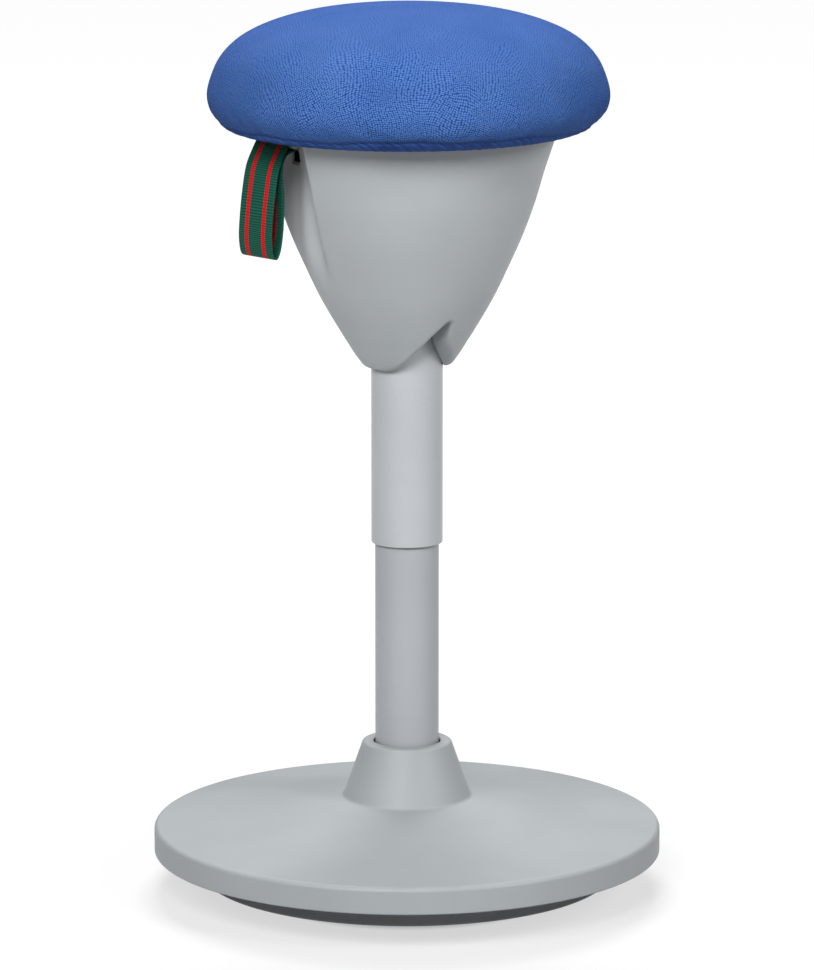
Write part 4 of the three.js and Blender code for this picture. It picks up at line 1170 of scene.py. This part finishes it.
FRAME_FINISHES = [
    (iron, ["ballast_plate"]),
    (zinc, ["tube_end_plate", "bearing_", "pad_screw", "cover_screw", "socket_bolt", "piston_rod",
            "valve_pin", "bracket_bolt", "tee_nut", "lever_pivot_pin", "hanger_screw"]),
    (steel_black, ["column_socket", "rod_clip", "gas_cylinder", "seat_bracket"]),
    (shroud_grey_painted_light, ["release_lever", "carry_hanger"]),
    (moulding_black, ["guide_bush", "piston", "cylinder_gland", "sleeve_ring", "shroud_clip"]),
    (pad_rubber, ["bump_rubber"]),
    (plywood, ["seat_board"]),
]

dress(rocker_pad, pad_rubber)
dress(base_cover, base_grey)
dress(stand_tube, tube_grey)
dress(outer_sleeve, sleeve_grey)
dress(shroud, shroud_grey_painted_light)
dress(cushion, blue_crepe)
dress(pull_loop, webbing)
dress(carry_loop, webbing)
finish_by_start = {start: finish for finish, starts in FRAME_FINISHES for start in starts}
dressed = 0
for name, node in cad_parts.items():
    starts = [start for start in finish_by_start if name.startswith(start)]
    if starts:
        dress(node, finish_by_start[max(starts, key=len)])
        dressed += 1
print("finishes put on", dressed, "pieces of the frame")

# %% [markdown]
# ## Floor and light
# The picture is a plain studio shot: white floor, white background, and light so soft that the only
# shadow lies close under the base. The world is a faint even dome, and four large lamps add the
# shape. The floor takes the shadow. Seen by the camera it gets light of its own, a little under the
# base and more further out, so that it meets the white background without a line.

# %% Floor
FLOOR_TONE = 0.28
LIFT_UNDER = 0.1
LIFT_NEAR = 0.64
LIFT_FAR = 0.95
NEAR_RING = (0.1, 0.127)
FAR_RING = (0.3, 2.5)
FLOOR_SIDES = (-9000, 9000, -6000, 14000)
FLOOR_DROP = 0.2


def make_floor():
    """A wide flat sheet just under the pad, white to the camera and shadowed by the stool.

    A camera below it looks through it, so the underside of the base can be seen too.
    """
    left, right, front, back = FLOOR_SIDES
    corners = np.array([(left, front), (right, front), (right, back), (left, back)], float)
    points = np.hstack([corners, np.full((4, 1), -FLOOR_DROP)])
    floor = piece_from("floor", points, np.array([[0, 1, 2, 3]]))
    material, tree, shader = new_material("studio_floor")
    feed(tree, shader, {"Base Color": (FLOOR_TONE, FLOOR_TONE, FLOOR_TONE, 1.0), "Roughness": 0.9})
    path = tree.nodes.new("ShaderNodeLightPath").outputs
    seen = math_node(tree, "MAXIMUM", path["Is Camera Ray"], path["Is Glossy Ray"])
    place = object_place(tree)
    away = add_node(tree, "ShaderNodeVectorMath", {0: place}, operation="LENGTH").outputs["Value"]
    near = spread(tree, away, *NEAR_RING, LIFT_UNDER, LIFT_NEAR)
    lift = math_node(tree, "ADD", near, spread(tree, away, *FAR_RING, 0.0, LIFT_FAR - LIFT_NEAR))
    glow = add_node(tree, "ShaderNodeEmission", {"Strength": math_node(tree, "MULTIPLY", seen, lift)})
    both = add_node(tree, "ShaderNodeAddShader", {0: shader.outputs[0], 1: glow.outputs[0]})
    under = tree.nodes.new("ShaderNodeNewGeometry").outputs["Backfacing"]
    from_below = math_node(tree, "MULTIPLY", under, path["Is Camera Ray"])
    clear = tree.nodes.new("ShaderNodeBsdfTransparent").outputs[0]
    surface = add_node(tree, "ShaderNodeMixShader", {0: from_below, 1: both.outputs[0], 2: clear})
    feed(tree, tree.nodes["Material Output"], {"Surface": surface.outputs[0]})
    floor.data.materials.append(material)


make_floor()
print("floor laid")

# %% Light
WORLD_LEVEL = 0.05
LAMP_AIM = (0, 0, 0.4)
LAMPS = {
    "front_lamp": ((-0.5, -3.2, 2.5), 1.2, 88),
    "left_lamp": ((-2.1, -2.6, 2.3), 1.2, 48),
    "right_lamp": ((2.6, -2.1, 2.3), 1.2, 58),
    "top_lamp": ((0.0, 1.3, 2.8), 1.4, 70),
}


def make_world():
    """An even faint dome for the object, and plain white for the camera and through anything clear."""
    world = bpy.data.worlds.new("studio")
    bpy.context.scene.world = world
    world.use_nodes = True
    tree = world.node_tree
    path = tree.nodes.new("ShaderNodeLightPath").outputs
    seen = math_node(tree, "MAXIMUM", path["Is Camera Ray"], path["Is Transmission Ray"])
    strength = spread(tree, seen, 0.0, 1.0, WORLD_LEVEL, 1.0)
    feed(tree, tree.nodes["Background"], {"Color": (1, 1, 1, 1), "Strength": strength})


def soft_lamp(name, place, size, power):
    """A large square lamp that looks at the middle of the stool."""
    data = bpy.data.lights.new(name, "AREA")
    data.size, data.energy = size, power
    lamp = bpy.data.objects.new(name, data)
    aim = np.array(LAMP_AIM) - np.array(place)
    lamp.location = place
    flat = math.hypot(aim[0], aim[1])
    lamp.rotation_euler = (math.atan2(flat, -aim[2]), 0, math.atan2(-aim[0], aim[1]))
    bpy.context.scene.collection.objects.link(lamp)


make_world()
for name, (place, size, power) in LAMPS.items():
    soft_lamp(name, place, size, power)
print("lamps:", list(LAMPS))

bpy.context.scene.view_settings.view_transform = "Standard"
